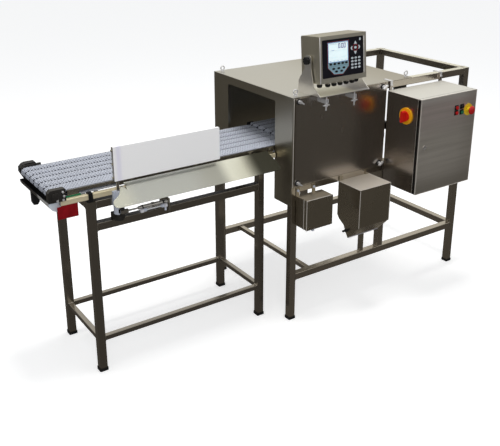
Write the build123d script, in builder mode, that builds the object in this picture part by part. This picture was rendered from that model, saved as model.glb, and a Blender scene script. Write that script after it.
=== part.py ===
from build123d import *
import os
from math import sin, cos, radians, pi, sqrt, atan2, degrees

# Checkweigher: weigh conveyor in a stainless cabinet frame, with an outfeed
# conveyor, reject paddle, chute, weight indicator and control box.
# Millimetres, +Z up, +X is against the flow (outfeed end at low X), the
# operator stands on the -Y side.  Drawn from the outfeed stand's near-left
# corner, then moved so that the origin is the centre of the base.
ORIGIN_X, ORIGIN_Y = 1080.50, 90.40

# driving dimensions ------------------------------------------------------
T = 38.1            # square frame tube
WALL = 2.0          # tube wall
STAND_L, STAND_D, STAND_H = 970.0, 438.0, 892.0
STAND_LOW_Z, STAND_MID_Z = 154.0, 744.0
FR_X0, FR_X1 = 1049.0, 2338.0       # main frame, outer faces
FR_Y0, FR_Y1 = -133.0, 605.0
FR_H = 1250.0
FR_LOW_Z, FR_MID_Z = 234.0, 744.0
CAB_X1 = 1870.0                     # end of the cabinet part of the frame
BELT_TOP = 968.0
BELT_T = 9.0
NOSE_R = 22.0
OUT_Y0, OUT_Y1 = 28.4, 409.4        # outfeed belt edges
OUT_XL, OUT_XR = -141.5, 1138.0     # outfeed shaft axes
WEI_Y0, WEI_Y1 = 28.4, 435.0        # weigh belt edges
WEI_XL, WEI_XR = 1190.0, 1846.0     # weigh shaft axes
AXIS_Z = BELT_TOP - NOSE_R
BOX_X0, BOX_X1 = 1682.0, 2106.0     # control box
BOX_Z0, BOX_Z1 = 678.0, 1204.0
BOX_YB, BOX_YF = -143.0, -368.0
DOOR_YF = -390.0
IND_X0, IND_X1 = 1170.0, 1475.0     # indicator case
IND_TILT = -4.9                     # leans back, degrees
PIV_Y, PIV_Z = -100.0, 1420.0       # indicator pivot
PAD_X, PAD_Y = 143.0, -13.65        # paddle shaft
ROD_Y, ROD_Z = -47.65, 832.0        # air cylinder axis

pieces = []


def keep(builder, name, node=None, place=None):
    """finish a piece; node is the group it is filed under, if not its own"""
    builder.part.label = name
    pieces.append((builder.part if place is None else builder.part.moved(place), name, node or name))


def block(x0, x1, y0, y1, z0, z1, mode=Mode.ADD):
    with Locations(((x0 + x1) / 2, (y0 + y1) / 2, (z0 + z1) / 2)):
        Box(abs(x1 - x0), abs(y1 - y0), abs(z1 - z0), mode=mode)


def plane_at(axis, a, b, c):
    """plane normal to an axis; a is the place along it, b and c the other two"""
    if axis == "x":
        return Plane(origin=(a, b, c), x_dir=(0, 1, 0), z_dir=(1, 0, 0))
    if axis == "y":
        return Plane(origin=(b, a, c), x_dir=(-1, 0, 0), z_dir=(0, 1, 0))
    return Plane(origin=(b, c, a), x_dir=(1, 0, 0), z_dir=(0, 0, 1))


def cyl(axis, b, c, a0, a1, r, mode=Mode.ADD):
    with BuildSketch(plane_at(axis, a0, b, c)) as s:
        Circle(r)
    extrude(s.sketch, amount=a1 - a0, mode=mode)


def hexa(axis, b, c, a0, a1, r, mode=Mode.ADD):
    with BuildSketch(plane_at(axis, a0, b, c)) as s:
        RegularPolygon(r, 6)
    extrude(s.sketch, amount=a1 - a0, mode=mode)


def rbox(axis, a0, a1, b0, b1, c0, c1, r, mode=Mode.ADD):
    """box along an axis with rounded long edges"""
    with BuildSketch(plane_at(axis, a0, (b0 + b1) / 2, (c0 + c1) / 2)) as s:
        RectangleRounded(b1 - b0, c1 - c0, r)
    extrude(s.sketch, amount=a1 - a0, mode=mode)


def tube(axis, a0, a1, b0, c0, t=T, w=WALL, r=3.0):
    """hollow square tube whose low corner is (b0, c0)"""
    with BuildSketch(plane_at(axis, a0, b0 + t / 2, c0 + t / 2)) as s:
        RectangleRounded(t, t, r)
        RectangleRounded(t - 2 * w, t - 2 * w, max(r - w, 0.6), mode=Mode.SUBTRACT)
    extrude(s.sketch, amount=a1 - a0)


def prism(axis, pts, a0, a1, mode=Mode.ADD):
    """pts are (y,z) for x, (x,z) for y, (x,y) for z"""
    if axis == "x":
        pl, q = Plane(origin=(a0, 0, 0), x_dir=(0, 1, 0), z_dir=(1, 0, 0)), pts
    elif axis == "y":
        pl, q = Plane(origin=(0, a0, 0), x_dir=(-1, 0, 0), z_dir=(0, 1, 0)), [(-p[0], p[1]) for p in pts]
    else:
        pl, q = Plane(origin=(0, 0, a0), x_dir=(1, 0, 0), z_dir=(0, 0, 1)), pts
    with BuildSketch(pl) as s:
        with BuildLine():
            Polyline(*q, close=True)
        make_face()
    extrude(s.sketch, amount=a1 - a0, mode=mode)


# =========================== outfeed stand ===============================
with BuildPart() as stand_legs:
    for x in (0, STAND_L - T):
        for y in (0, STAND_D - T):
            tube("z", 4, STAND_H, x, y)
            block(x + 1.5, x + T - 1.5, y + 1.5, y + T - 1.5, STAND_H - 3, STAND_H)
keep(stand_legs, "stand_legs")

TS = 25.4                           # slim rails, centred on the legs
IN = (T - TS) / 2
with BuildPart() as stand_lower_rails:
    for y in (0, STAND_D - T):
        tube("x", T, STAND_L - T, y + IN, STAND_LOW_Z + IN, t=TS, w=1.6, r=2.5)
    for x in (0, STAND_L - T):
        tube("y", T, STAND_D - T, x + IN, STAND_LOW_Z + IN, t=TS, w=1.6, r=2.5)
keep(stand_lower_rails, "stand_lower_rails", "stand_rails")

with BuildPart() as stand_mid_rail:
    tube("x", T, STAND_L - T, 0, STAND_MID_Z)
keep(stand_mid_rail, "stand_mid_rail", "stand_rails")

with BuildPart() as stand_top_rails:
    for y in (0, STAND_D - T):
        tube("x", T, STAND_L - T, y, STAND_H - T)
    for x in (0, STAND_L - T):
        tube("y", T, STAND_D - T, x, STAND_H - T)
keep(stand_top_rails, "stand_top_rails", "stand_rails")

with BuildPart() as stand_feet:
    for x in (0, STAND_L - T):
        for y in (0, STAND_D - T):
            rbox("z", 0, 14, x - 3, x + T + 3, y - 3, y + T + 3, 5)
            block(x, x + T, y, y + T, 4, 14, mode=Mode.SUBTRACT)
keep(stand_feet, "stand_feet", "rubber_feet")

# ========================= outfeed conveyor ==============================
CR_Z0, CR_Z1 = 905.0, 930.0         # 25 mm conveyor rails
with BuildPart() as conveyor_rails:
    for y, x0 in ((0, -100), (413, -60)):
        tube("x", x0, 1040, y, CR_Z0, t=25.0, w=1.5, r=2.5)
    # stub that runs out below the near bearing block
    rbox("x", -124, -100, 0, 25, CR_Z0, 930, 2.5)
keep(conveyor_rails, "conveyor_rails")

with BuildPart() as rail_clamps:
    for x in (5, 945):
        block(x, x + 20, -5, 27.5, STAND_H, CR_Z1 + 6)
        block(x - 1, x + 21, 0, 25, CR_Z0, CR_Z1, mode=Mode.SUBTRACT)
        block(x, x + 20, 410.5, 443, STAND_H, CR_Z1 + 6)
        block(x - 1, x + 21, 413, 438, CR_Z0, CR_Z1, mode=Mode.SUBTRACT)
        for y, s in ((-5, -1), (443, 1)):
            hexa("y", x + 10, 917, min(y, y + s * 5), max(y, y + s * 5), 6)
keep(rail_clamps, "rail_clamps")

with BuildPart() as conveyor_side_plates:
    for y in (20, 413.8):
        block(-83, 1156, y, y + 4, 938, 965)
        block(1120, 1156, y, y + 4, 932, 938)
        block(-30, 155, y - 1, y + 5, 937, 950.5, mode=Mode.SUBTRACT)
        cyl("y", OUT_XR, AXIS_Z, y - 1, y + 5, 8.05, mode=Mode.SUBTRACT)
keep(conveyor_side_plates, "conveyor_side_plates")

with BuildPart() as side_plate_brackets:
    for x in (215, 560, 880, 1004):
        block(x, x + 30, 16, 20, CR_Z1, 960)
        block(x, x + 30, 4, 16, CR_Z1, CR_Z1 + 4)
        hexa("y", x + 15, 951, 12, 16, 6)
        block(x, x + 30, 417.8, 421.8, CR_Z1, 960)
        block(x, x + 30, 421.8, 434, CR_Z1, CR_Z1 + 4)
        hexa("y", x + 15, 951, 421.8, 425.8, 6)
keep(side_plate_brackets, "side_plate_brackets", "conveyor_bed")

with BuildPart() as bed_cross_bars:
    for x in (-60, 160, 400, 640, 880, 1085):
        block(x, x + 25, 24, 413.8, 942, 950)
keep(bed_cross_bars, "bed_cross_bars", "conveyor_bed")

with BuildPart() as carry_strips:
    for y in (48, 128, 208, 288, 368):
        block(-122, 1112, y, y + 22, 950, 958.7)
keep(carry_strips, "carry_strips", "wear_strips")

with BuildPart() as edge_strips:
    block(-97, -22, 18, 24, 932, 938)
    block(-60, -22, 413.8, 419.8, 932, 938)
keep(edge_strips, "edge_strips", "wear_strips")

with BuildPart() as return_bars:
    for x in (60, 330, 610, 920):
        cyl("y", x, 922.3, 25, 413, 8)
keep(return_bars, "return_bars", "conveyor_bed")


def belt_profile(y0, xl, xr, lift, ramp):
    """belt loop: flat carry run, return run lifted between two ramps"""
    zt, zb, ri, t = BELT_TOP, AXIS_Z - NOSE_R, NOSE_R - BELT_T, BELT_T
    with BuildSketch(Plane(origin=(0, y0, 0), x_dir=(-1, 0, 0), z_dir=(0, 1, 0))) as s:
        for k, (up, lo, r) in enumerate(((zt, zb, NOSE_R), (zt - t, zb + t, ri))):
            m = Mode.ADD if k == 0 else Mode.SUBTRACT
            with BuildLine():
                Polyline((-xl, up), (-xr, up))
                ThreePointArc((-xr, up), (-(xr + r), AXIS_Z), (-xr, lo))
                Polyline((-xr, lo), (-(xr - ramp), lo + lift), (-(xl + ramp), lo + lift), (-xl, lo))
                ThreePointArc((-xl, lo), (-(xl - r), AXIS_Z), (-xl, up))
            make_face(mode=m)
    return s.sketch


with BuildPart() as outfeed_belt:
    extrude(belt_profile(OUT_Y0, OUT_XL, OUT_XR, 7.0, 170.0), amount=OUT_Y1 - OUT_Y0)
keep(outfeed_belt, "outfeed_belt")

with BuildPart() as drive_bearing_blocks:
    # near block, seated on the conveyor rail
    prism("y", [(-180, 978), (-168, 988), (-104, 988), (-100, 984), (-100, 930), (-176, 930), (-180, 934)], -8, 20)
    cyl("y", -148, 957, -13, -8, 17)
    cyl("y", OUT_XL, AXIS_Z, 0, 21, 8.05, mode=Mode.SUBTRACT)
    # far block
    prism("y", [(-158, 938), (-156, 962), (-143, 975), (-60, 975), (-60, 918), (-147, 918)], 417.8, 427.8)
    cyl("y", OUT_XL, AXIS_Z, 417, 429, 8.05, mode=Mode.SUBTRACT)
keep(drive_bearing_blocks, "drive_bearing_blocks")

with BuildPart() as block_bolts:
    for x, z in ((-114, 974), (-110, 954), (-114, 937), (-141, 938)):
        hexa("y", x, z, -13, -8, 5.5)
keep(block_bolts, "block_bolts", "drive_bearing_blocks")

with BuildPart() as outfeed_drive_shaft:
    cyl("y", OUT_XL, AXIS_Z, 1, 457, 8)
keep(outfeed_drive_shaft, "outfeed_drive_shaft")


def sprockets(x, ys):
    """toothed belt sprockets on a shaft"""
    for y in ys:
        cyl("y", x, AXIS_Z, y, y + 14, 12.6)
        for k in range(8):
            a = 2 * pi * k / 8
            cyl("y", x + 13.2 * cos(a), AXIS_Z + 13.2 * sin(a), y - 0.5, y + 14.5, 1.6, mode=Mode.SUBTRACT)
        cyl("y", x, AXIS_Z, y - 1, y + 15, 8, mode=Mode.SUBTRACT)


with BuildPart() as outfeed_sprockets:
    sprockets(OUT_XL, (40, 126, 212, 298, 384))
keep(outfeed_sprockets, "outfeed_sprockets", "outfeed_drive_shaft")

with BuildPart() as outfeed_idler:
    cyl("y", OUT_XR, AXIS_Z, 12, 426, 8)
    for y in (40, 126, 212, 298, 384):
        cyl("y", OUT_XR, AXIS_Z, y, y + 14, 12.6)
keep(outfeed_idler, "outfeed_idler")

with BuildPart() as idler_bearings:
    for a, b in ((14, 20), (417.8, 423.8)):
        block(OUT_XR - 18, OUT_XR + 18, a, b, 932, 962)
        cyl("y", OUT_XR, AXIS_Z, a - 1, b + 1, 8.05, mode=Mode.SUBTRACT)
keep(idler_bearings, "idler_bearings", "shaft_bearings")

NG_X, NG_Z = -129.0, 915.0
with BuildPart() as nose_guard:
    with BuildSketch(plane_at("y", 28, NG_X, NG_Z)) as s:
        Circle(42)
        Circle(40.5, mode=Mode.SUBTRACT)
        with Locations((0, 30)):
            Rectangle(100, 60, mode=Mode.SUBTRACT)
    extrude(s.sketch, amount=410 - 28)
keep(nose_guard, "nose_guard")

with BuildPart() as nose_guard_ends:
    for y in (25, 410):
        with BuildSketch(plane_at("y", y, NG_X, NG_Z)) as s:
            Circle(42)
            with Locations((0, 31)):
                Rectangle(100, 62, mode=Mode.SUBTRACT)
        extrude(s.sketch, amount=3)
        if y > 100:
            block(-140, -101, y, y + 3, 914, 932)
keep(nose_guard_ends, "nose_guard_ends", "nose_guard")

MOT_X, MOT_Z = -83.5, 950.0         # gearmotor output axis
GUARD = [(-160, 940), (-158.5, 962), (-145, 976), (-132, 980.5), (-84, 980.5), (-61, 950), (-66.5, 866), (-122.5, 866)]
with BuildPart() as drive_guard_plate:
    prism("y", GUARD, 427.8, 430.8)
    cyl("y", OUT_XL, AXIS_Z, 427, 432, 8.4, mode=Mode.SUBTRACT)
keep(drive_guard_plate, "drive_guard_plate", "drive_guard")

with BuildPart() as drive_guard_cover:
    prism("y", GUARD, 430.8, 463)
    prism("y", [(-157.5, 940.6), (-156.1, 961), (-143.9, 973.7), (-131.6, 978), (-85.1, 978), (-63.6, 949.2), (-68.8, 868), (-120.7, 868)],
          430.8, 460.5, mode=Mode.SUBTRACT)
    block(-113.5, -75.5, 434, 460.5, 865, 869, mode=Mode.SUBTRACT)
keep(drive_guard_cover, "drive_guard_cover", "drive_guard")

with BuildPart() as drive_pulley:
    cyl("y", OUT_XL, AXIS_Z, 440, 453, 10.5)
    cyl("y", OUT_XL, AXIS_Z, 439, 454, 8, mode=Mode.SUBTRACT)
keep(drive_pulley, "drive_pulley", "outfeed_drive_shaft")

with BuildPart() as timing_belt:
    def loop(r, m):
        ang = atan2(MOT_Z - AXIS_Z, MOT_X - OUT_XL)
        nx, nz = -sin(ang) * r, cos(ang) * r
        prism("y", [(OUT_XL + nx, AXIS_Z + nz), (MOT_X + nx, MOT_Z + nz), (MOT_X - nx, MOT_Z - nz), (OUT_XL - nx, AXIS_Z - nz)], 441, 452, mode=m)
        cyl("y", OUT_XL, AXIS_Z, 441, 452, r, mode=m)
        cyl("y", MOT_X, MOT_Z, 441, 452, r, mode=m)
    loop(12.4, Mode.ADD)
    loop(10.8, Mode.SUBTRACT)
keep(timing_belt, "timing_belt", "gearmotor")

with BuildPart() as gearmotor:
    # flat right-angle gearhead inside the guard, motor hanging below it
    rbox("y", 430.8, 438.5, -103.5, -72, 915, 960, 4)
    block(-103.5, -71.5, 430.8, 438.5, 872, 925)
    rbox("z", 862, 884, -112.5, -76.5, 434.5, 460, 4)
    rbox("z", 772, 866, -115.5, -77.5, 428, 462, 9)
    with BuildSketch(Plane.XY.offset(772)) as s:
        with Locations((-96.5, 445)):
            RectangleRounded(38, 34, 9)
    with BuildSketch(Plane.XY.offset(757)) as s2:
        with Locations((-96.5, 445)):
            RectangleRounded(24, 22, 8)
    loft([s.sketch.face(), s2.sketch.face()])
    block(-112.5, -76.5, 425, 434.4, 866, 872, mode=Mode.SUBTRACT)
    cyl("y", MOT_X, MOT_Z, 430, 439, 5.2, mode=Mode.SUBTRACT)
keep(gearmotor, "gearmotor")

with BuildPart() as motor_pulley:
    cyl("y", MOT_X, MOT_Z, 431, 455, 5.1)
    cyl("y", MOT_X, MOT_Z, 440, 453, 10.5)
keep(motor_pulley, "motor_pulley")

with BuildPart() as red_tag:
    block(-141, -45, 4, 5, 841, 901)
    block(-122, -45, 4, 5, 901, CR_Z0)
keep(red_tag, "red_tag")

# ============================ reject paddle ==============================
with BuildPart() as paddle_panel:
    rbox("y", -20, -7.3, 127, 687, 973, 1136, 3)
keep(paddle_panel, "paddle_panel")

with BuildPart() as paddle_bracket:
    block(124, 127, -20, -7.3, 969, 1136)
    block(127, 200, -20, -7.3, 969, 973)
    for z in (990, 1055, 1120):
        hexa("x", -13.65, z, 119, 124, 5.5)
keep(paddle_bracket, "paddle_bracket", "paddle_shaft")

with BuildPart() as paddle_shaft:
    cyl("z", PAD_X, PAD_Y, 784, 969, 7)
keep(paddle_shaft, "paddle_shaft")

with BuildPart() as paddle_lever:
    cyl("z", PAD_X, PAD_Y, 815.5, 853, 25)
    cyl("z", PAD_X, PAD_Y, 815, 854, 7, mode=Mode.SUBTRACT)
    # fork arms that hold the pin, towards the operator
    block(PAD_X - 9, PAD_X + 9, ROD_Y - 8, PAD_Y - 20, 815.5, 822)
    block(PAD_X - 9, PAD_X + 9, ROD_Y - 8, PAD_Y - 20, 842, 848.5)
    cyl("z", PAD_X, ROD_Y, 822, 842, 3)
    block(PAD_X - 13, PAD_X + 13, ROD_Y - 9, PAD_Y - 13.5, 822, 842, mode=Mode.SUBTRACT)
    cyl("z", PAD_X, ROD_Y, 822, 842, 3)
keep(paddle_lever, "paddle_lever")

with BuildPart() as pivot_block:
    with BuildSketch(Plane.XY.offset(854)) as s:
        with Locations((PAD_X, -8)):
            Rectangle(50, 16)
        with Locations((PAD_X, PAD_Y)):
            Circle(17)
    extrude(s.sketch, amount=70)
    block(PAD_X - 30, PAD_X + 30, 0, 10, 853, 925, mode=Mode.SUBTRACT)
    cyl("z", PAD_X, PAD_Y, 853, 925, 7.05, mode=Mode.SUBTRACT)
keep(pivot_block, "pivot_block", "paddle_bearings")

with BuildPart() as pivot_base:
    with BuildSketch(Plane.XY.offset(STAND_MID_Z + T)) as s:
        with Locations((PAD_X, 6)):
            Rectangle(50, 46)
        with Locations((PAD_X, PAD_Y)):
            Circle(20)
    extrude(s.sketch, amount=30)
    cyl("z", PAD_X, PAD_Y, 783.9, 813, 7.05, mode=Mode.SUBTRACT)
keep(pivot_base, "pivot_base", "paddle_bearings")

CY0, CY1 = 222.0, 372.0
with BuildPart() as cylinder_barrel:
    cyl("x", ROD_Y, ROD_Z, CY0, CY1, 16)
    cyl("x", ROD_Y, ROD_Z, CY0 + 14, CY1 - 12, 12.5, mode=Mode.SUBTRACT)
    cyl("x", ROD_Y, ROD_Z, CY0 - 1, CY0 + 15, 4.06, mode=Mode.SUBTRACT)
keep(cylinder_barrel, "cylinder_barrel", "air_cylinder")

with BuildPart() as air_fittings:
    for x in (230, 355):
        cyl("z", x, ROD_Y, 804, 817, 7)
        hexa("z", x, ROD_Y, 798, 804, 9)
        cyl("x", ROD_Y, 801, x - 18 if x > 300 else x, x if x > 300 else x + 22, 6)
    cyl("x", ROD_Y, 801, 252, 337, 2.2)
keep(air_fittings, "air_fittings", "air_cylinder")

with BuildPart() as cylinder_bracket:
    block(CY1, CY1 + 8, ROD_Y - 18, 30, 786, 850)
    block(CY1 - 20, CY1 + 30, -2, 34, STAND_MID_Z + T, 787)
keep(cylinder_bracket, "cylinder_bracket", "air_cylinder")

with BuildPart() as cylinder_rod:
    cyl("x", ROD_Y, ROD_Z, 158, 300, 4)
    cyl("x", ROD_Y, ROD_Z, 292, 304, 12.2)
keep(cylinder_rod, "cylinder_rod")

with BuildPart() as rod_yoke:
    with BuildSketch(Plane.XY.offset(823.5)) as s:
        with Locations(((PAD_X + 0.35), ROD_Y + 4.2)):
            SlotOverall(27, 17, rotation=90)
        with Locations(((PAD_X + 16), ROD_Y)):
            Rectangle(26, 12)
        with Locations(((PAD_X + 0.35), ROD_Y + 4.2)):
            SlotOverall(19.5, 8.4, rotation=90, mode=Mode.SUBTRACT)
    extrude(s.sketch, amount=17)
    cyl("x", ROD_Y, ROD_Z, 158, 175, 4, mode=Mode.SUBTRACT)
keep(rod_yoke, "rod_yoke", "cylinder_rod")

# ============================= chute =====================================
CH_Y0, CH_Z0, CH_Y1, CH_Z1 = 2.0, 951.6, -100.0, 876.0
ch_len = sqrt((CH_Y0 - CH_Y1) ** 2 + (CH_Z0 - CH_Z1) ** 2)
ch_dir = ((CH_Y1 - CH_Y0) / ch_len, (CH_Z1 - CH_Z0) / ch_len)      # down the slope
ch_plane = Plane(origin=(0, CH_Y0, CH_Z0), x_dir=(1, 0, 0), z_dir=(0, ch_dir[1], -ch_dir[0]))
with BuildPart() as chute:
    # in this plane +y runs up the slope, so points below are (x, -distance)
    with BuildSketch(ch_plane) as s:
        with BuildLine():
            L = ch_len
            Polyline((178, 0), (985, 0))
            Spline((985, 0), (994, -40), (1009, -L + 22), (1004, -L + 6), (990, -L), tangents=((0.25, -1), (-1, 0)))
            Polyline((990, -L), (118, -L))
            Spline((118, -L), (92, -L + 12), (92, -L + 34), (140, -48), (170, -22), (178, 0), tangents=((-1, 0), (-0.1, 1)))
        make_face()
    extrude(s.sketch, amount=1.5)
keep(chute, "chute")


def under_chute(y):
    return CH_Z0 + (y - CH_Y0) * (CH_Z1 - CH_Z0) / (CH_Y1 - CH_Y0) - 2.2


with BuildPart() as chute_brackets:
    for x in (260, 590, 920):
        prism("x", [(0, CR_Z0 + 2), (0, under_chute(0)), (-62, under_chute(-62)), (-62, under_chute(-62) - 8)], x, x + 4)
keep(chute_brackets, "chute_brackets", "conveyor_bed")

# ============================ main frame =================================
with BuildPart() as frame_legs:
    for x in (FR_X0, FR_X1 - T):
        for y in (FR_Y0, FR_Y1 - T):
            tube("z", 4, FR_H, x, y)
            block(x + 1.5, x + T - 1.5, y + 1.5, y + T - 1.5, FR_H - 3, FR_H)
keep(frame_legs, "frame_legs")

with BuildPart() as frame_feet:
    for x in (FR_X0, FR_X1 - T):
        for y in (FR_Y0, FR_Y1 - T):
            rbox("z", 0, 14, x - 3, x + T + 3, y - 3, y + T + 3, 5)
            block(x, x + T, y, y + T, 4, 14, mode=Mode.SUBTRACT)
keep(frame_feet, "frame_feet", "rubber_feet")

CROSS_X = 1184.0
with BuildPart() as frame_lower_rails:
    for y in (FR_Y0, FR_Y1 - T):
        tube("x", FR_X0 + T, FR_X1 - T, y, FR_LOW_Z)
keep(frame_lower_rails, "frame_lower_rails", "frame_rails")

with BuildPart() as frame_cross_rails:
    tube("y", FR_Y0 + T, FR_Y1 - T, CROSS_X + IN, FR_LOW_Z + IN, t=TS, w=1.6, r=2.5)
    tube("y", FR_Y0 + T, FR_Y1 - T, FR_X1 - T, FR_LOW_Z)
keep(frame_cross_rails, "frame_cross_rails", "frame_rails")

MID_X = 1684.0
with BuildPart() as frame_mid_rails:
    for y in (FR_Y0, FR_Y1 - T):
        tube("x", FR_X0 + T, MID_X, y, FR_MID_Z)
keep(frame_mid_rails, "frame_mid_rails", "frame_rails")

with BuildPart() as frame_mid_cross:
    tube("y", FR_Y0 + T, FR_Y1 - T, MID_X, FR_MID_Z)
keep(frame_mid_cross, "frame_mid_cross", "frame_rails")

with BuildPart() as frame_mid_posts:
    for y in (FR_Y0, FR_Y1 - T):
        tube("z", FR_LOW_Z + T, 800, MID_X, y)
        block(MID_X + 1.5, MID_X + T - 1.5, y + 1.5, y + T - 1.5, 797, 800)
    tube("z", FR_LOW_Z + T, 560, 1555, -126, t=24.0, w=1.5, r=2.0)
keep(frame_mid_posts, "frame_mid_posts", "frame_legs")

with BuildPart() as frame_top_rails:
    for y in (FR_Y0, FR_Y1 - T):
        tube("x", FR_X0 + T, FR_X1 - T, y, FR_H - T)
    for x in (FR_X0, FR_X1 - T):
        tube("y", FR_Y0 + T, FR_Y1 - T, x, FR_H - T)
keep(frame_top_rails, "frame_top_rails", "frame_rails")

# ============================== cabinet ==================================
with BuildPart() as end_panel_outfeed:
    x0 = FR_X0 - 3
    block(x0, FR_X0, FR_Y0, FR_Y1, 671, FR_H)
    rbox("x", x0 - 1, FR_X0 + 1, 15, 462, 600, 1208, 12, mode=Mode.SUBTRACT)
    # turned edge round the opening
    rbox("x", x0, x0 + 14, 12, 465, 671, 1211, 14)
    rbox("x", x0 - 1, x0 + 15, 15, 462, 600, 1208, 12, mode=Mode.SUBTRACT)
    block(x0 - 1, x0 + 15, 12, 465, 660, 686, mode=Mode.SUBTRACT)
    block(x0, FR_X0, 12, 15, 671, 686)
    block(x0, FR_X0, 462, 465, 671, 686)
keep(end_panel_outfeed, "end_panel_outfeed", "cabinet_panels")

with BuildPart() as end_panel_infeed:
    block(CAB_X1 - 3, CAB_X1, FR_Y0 + T, FR_Y1 - T, 671, FR_H)
    rbox("x", CAB_X1 - 4, CAB_X1 + 1, 3, 466, 600, 1190, 12, mode=Mode.SUBTRACT)
keep(end_panel_infeed, "end_panel_infeed", "cabinet_panels")

with BuildPart() as back_panel:
    block(FR_X0 - 3, CAB_X1, FR_Y1, FR_Y1 + 2, 671, FR_H)
keep(back_panel, "back_panel", "cabinet_panels")

with BuildPart() as top_cover:
    block(FR_X0 - 3, CAB_X1, FR_Y0, FR_Y1 + 2, FR_H, FR_H + 2)
keep(top_cover, "top_cover")

PANEL = (1062.0, 1676.0, 785.0, 1244.0)
LATCHES = {"tl": (1079.0, 1230.0), "tr": (1646.0, 1230.0), "bl": (1079.0, 799.0), "br": (1646.0, 799.0)}
with BuildPart() as front_panel:
    block(PANEL[0], PANEL[1], -139, -137.5, PANEL[2], PANEL[3])
    block(PANEL[0], PANEL[0] + 1.5, -137.5, FR_Y0, PANEL[2], PANEL[3])
    block(PANEL[1] - 1.5, PANEL[1], -137.5, FR_Y0, PANEL[2], PANEL[3])
    block(PANEL[0], PANEL[1], -137.5, FR_Y0, PANEL[3] - 1.5, PANEL[3])
    block(PANEL[0], PANEL[1], -137.5, FR_Y0, PANEL[2], PANEL[2] + 1.5)
    for x, z in LATCHES.values():
        cyl("y", x, z, -140, -137, 4.3, mode=Mode.SUBTRACT)
keep(front_panel, "front_panel")

with BuildPart() as latch_studs:
    for k, (x, z) in LATCHES.items():
        ring = 9.5
        cyl("y", x, z, -143, -139, ring)
        cyl("y", x, z, -144, -138, 5.05, mode=Mode.SUBTRACT)
keep(latch_studs, "latch_collars", "front_panel")

for k, (x, z) in LATCHES.items():
    with BuildPart() as latch:
        cyl("y", x, z, -149, -137.9, 4.2)
        cyl("y", x, z, -155, -143.3, 8.5)
        ang = 35 if k[1] == "l" else -35
        with BuildSketch(plane_at("y", -166, x, z)) as s:
            SlotOverall(34, 7, rotation=ang)
        extrude(s.sketch, amount=13)
    keep(latch, "panel_latch_" + k)

with BuildPart() as lifting_eyes:
    for x, y in ((1082, -104), (1848, -104), (1082, 574), (1848, 574)):
        cyl("z", x, y, FR_H + 2, FR_H + 7, 11)
        cyl("z", x, y, FR_H + 7, FR_H + 12, 5)
        with Locations((x, y, FR_H + 22)):
            Torus(11.5, 3.6, rotation=(90, 0, 0))
keep(lifting_eyes, "lifting_eyes")

# ========================== weigh conveyor ===============================
with BuildPart() as weigh_cross_beams:
    for x in (1330, 1640):
        tube("y", FR_Y0 + 2, FR_Y1 - 2, x, FR_MID_Z + T, t=40.0, w=3.0, r=3.0)
keep(weigh_cross_beams, "weigh_cross_beams", "weigh_carrier")

with BuildPart() as load_cells:
    for x in (1350, 1660):
        block(x - 20, x + 20, 150, 182, 822.1, 826)
        block(x - 20, x + 20, 150, 310, 826, 856)
        cyl("x", 216, 841, x - 21, x + 21, 9, mode=Mode.SUBTRACT)
        cyl("x", 244, 841, x - 21, x + 21, 9, mode=Mode.SUBTRACT)
        block(x - 20, x + 20, 278, 310, 856, 861)
keep(load_cells, "load_cells")

with BuildPart() as weigh_carrier:
    for y in (40, 385):
        tube("x", 1180, 1856, y, 861, t=29.0, w=2.0, r=2.5)
    for x in (1335, 1645):
        block(x, x + 30, 69, 385, 861, 867)
    for x in (1215, 1790):
        for y in (46, 391):
            block(x, x + 30, y, y + 16, 890, 921.5)
    for x in (1215, 1790):
        block(x, x + 30, 14, 62, 913.5, 921.5)
        block(x, x + 30, 391, 450, 913.5, 921.5)
        block(x, x + 30, 14, 20, 921.5, 940)
        block(x, x + 30, 443.6, 450, 921.5, 940)
keep(weigh_carrier, "weigh_carrier")

with BuildPart() as weigh_side_plates:
    for y in (20, 439.6):
        block(1180, 1860, y, y + 4, 932, 965)
        for x in (WEI_XL, WEI_XR):
            cyl("y", x, AXIS_Z, y - 1, y + 5, 8.05, mode=Mode.SUBTRACT)
    for x in (1225, 1500, 1790):
        block(x, x + 25, 24, 439.6, 942, 950)
keep(weigh_side_plates, "weigh_side_plates")

with BuildPart() as weigh_strips:
    for y in (48, 130, 212, 294, 376):
        block(1216, 1820, y, y + 22, 950, 958.7)
keep(weigh_strips, "weigh_strips", "wear_strips")

with BuildPart() as weigh_belt:
    extrude(belt_profile(WEI_Y0, WEI_XL, WEI_XR, 0.0, 60.0), amount=WEI_Y1 - WEI_Y0)
keep(weigh_belt, "weigh_belt")

with BuildPart() as weigh_bearings:
    for x in (WEI_XL, WEI_XR):
        for a, b in ((8, 20), (443.6, 458)):
            rbox("y", a, b, x - 22, x + 22, 924, 966, 6)
            cyl("y", x, AXIS_Z, a + (3 if a < 100 else -1), b + (1 if a < 100 else -3), 8.05, mode=Mode.SUBTRACT)
keep(weigh_bearings, "weigh_bearings", "shaft_bearings")

with BuildPart() as weigh_drive_shaft:
    cyl("y", WEI_XR, AXIS_Z, 11.2, 454.8, 8)
    sprockets(WEI_XR, (40, 132, 224, 316, 410))
keep(weigh_drive_shaft, "weigh_drive_shaft")

with BuildPart() as weigh_idler:
    cyl("y", WEI_XL, AXIS_Z, 11.2, 454.8, 8)
    for y in (40, 132, 224, 316, 410):
        cyl("y", WEI_XL, AXIS_Z, y, y + 14, 12.6)
keep(weigh_idler, "weigh_idler")

# ===================== junction box and hood =============================
with BuildPart() as junction_box:
    rbox("y", -203, -137, 1076, 1248, 561, 728, 4)
    rbox("y", -204, -139, 1078, 1246, 563, 726, 2, mode=Mode.SUBTRACT)
    cyl("z", 1158, -178, 560, 564, 8, mode=Mode.SUBTRACT)
    for x in (1087, 1192):
        block(x - 11, x + 11, -137, FR_Y0, 700, 772)
        hexa("y", x, 755, -142, -137, 7)
keep(junction_box, "junction_box")

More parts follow.
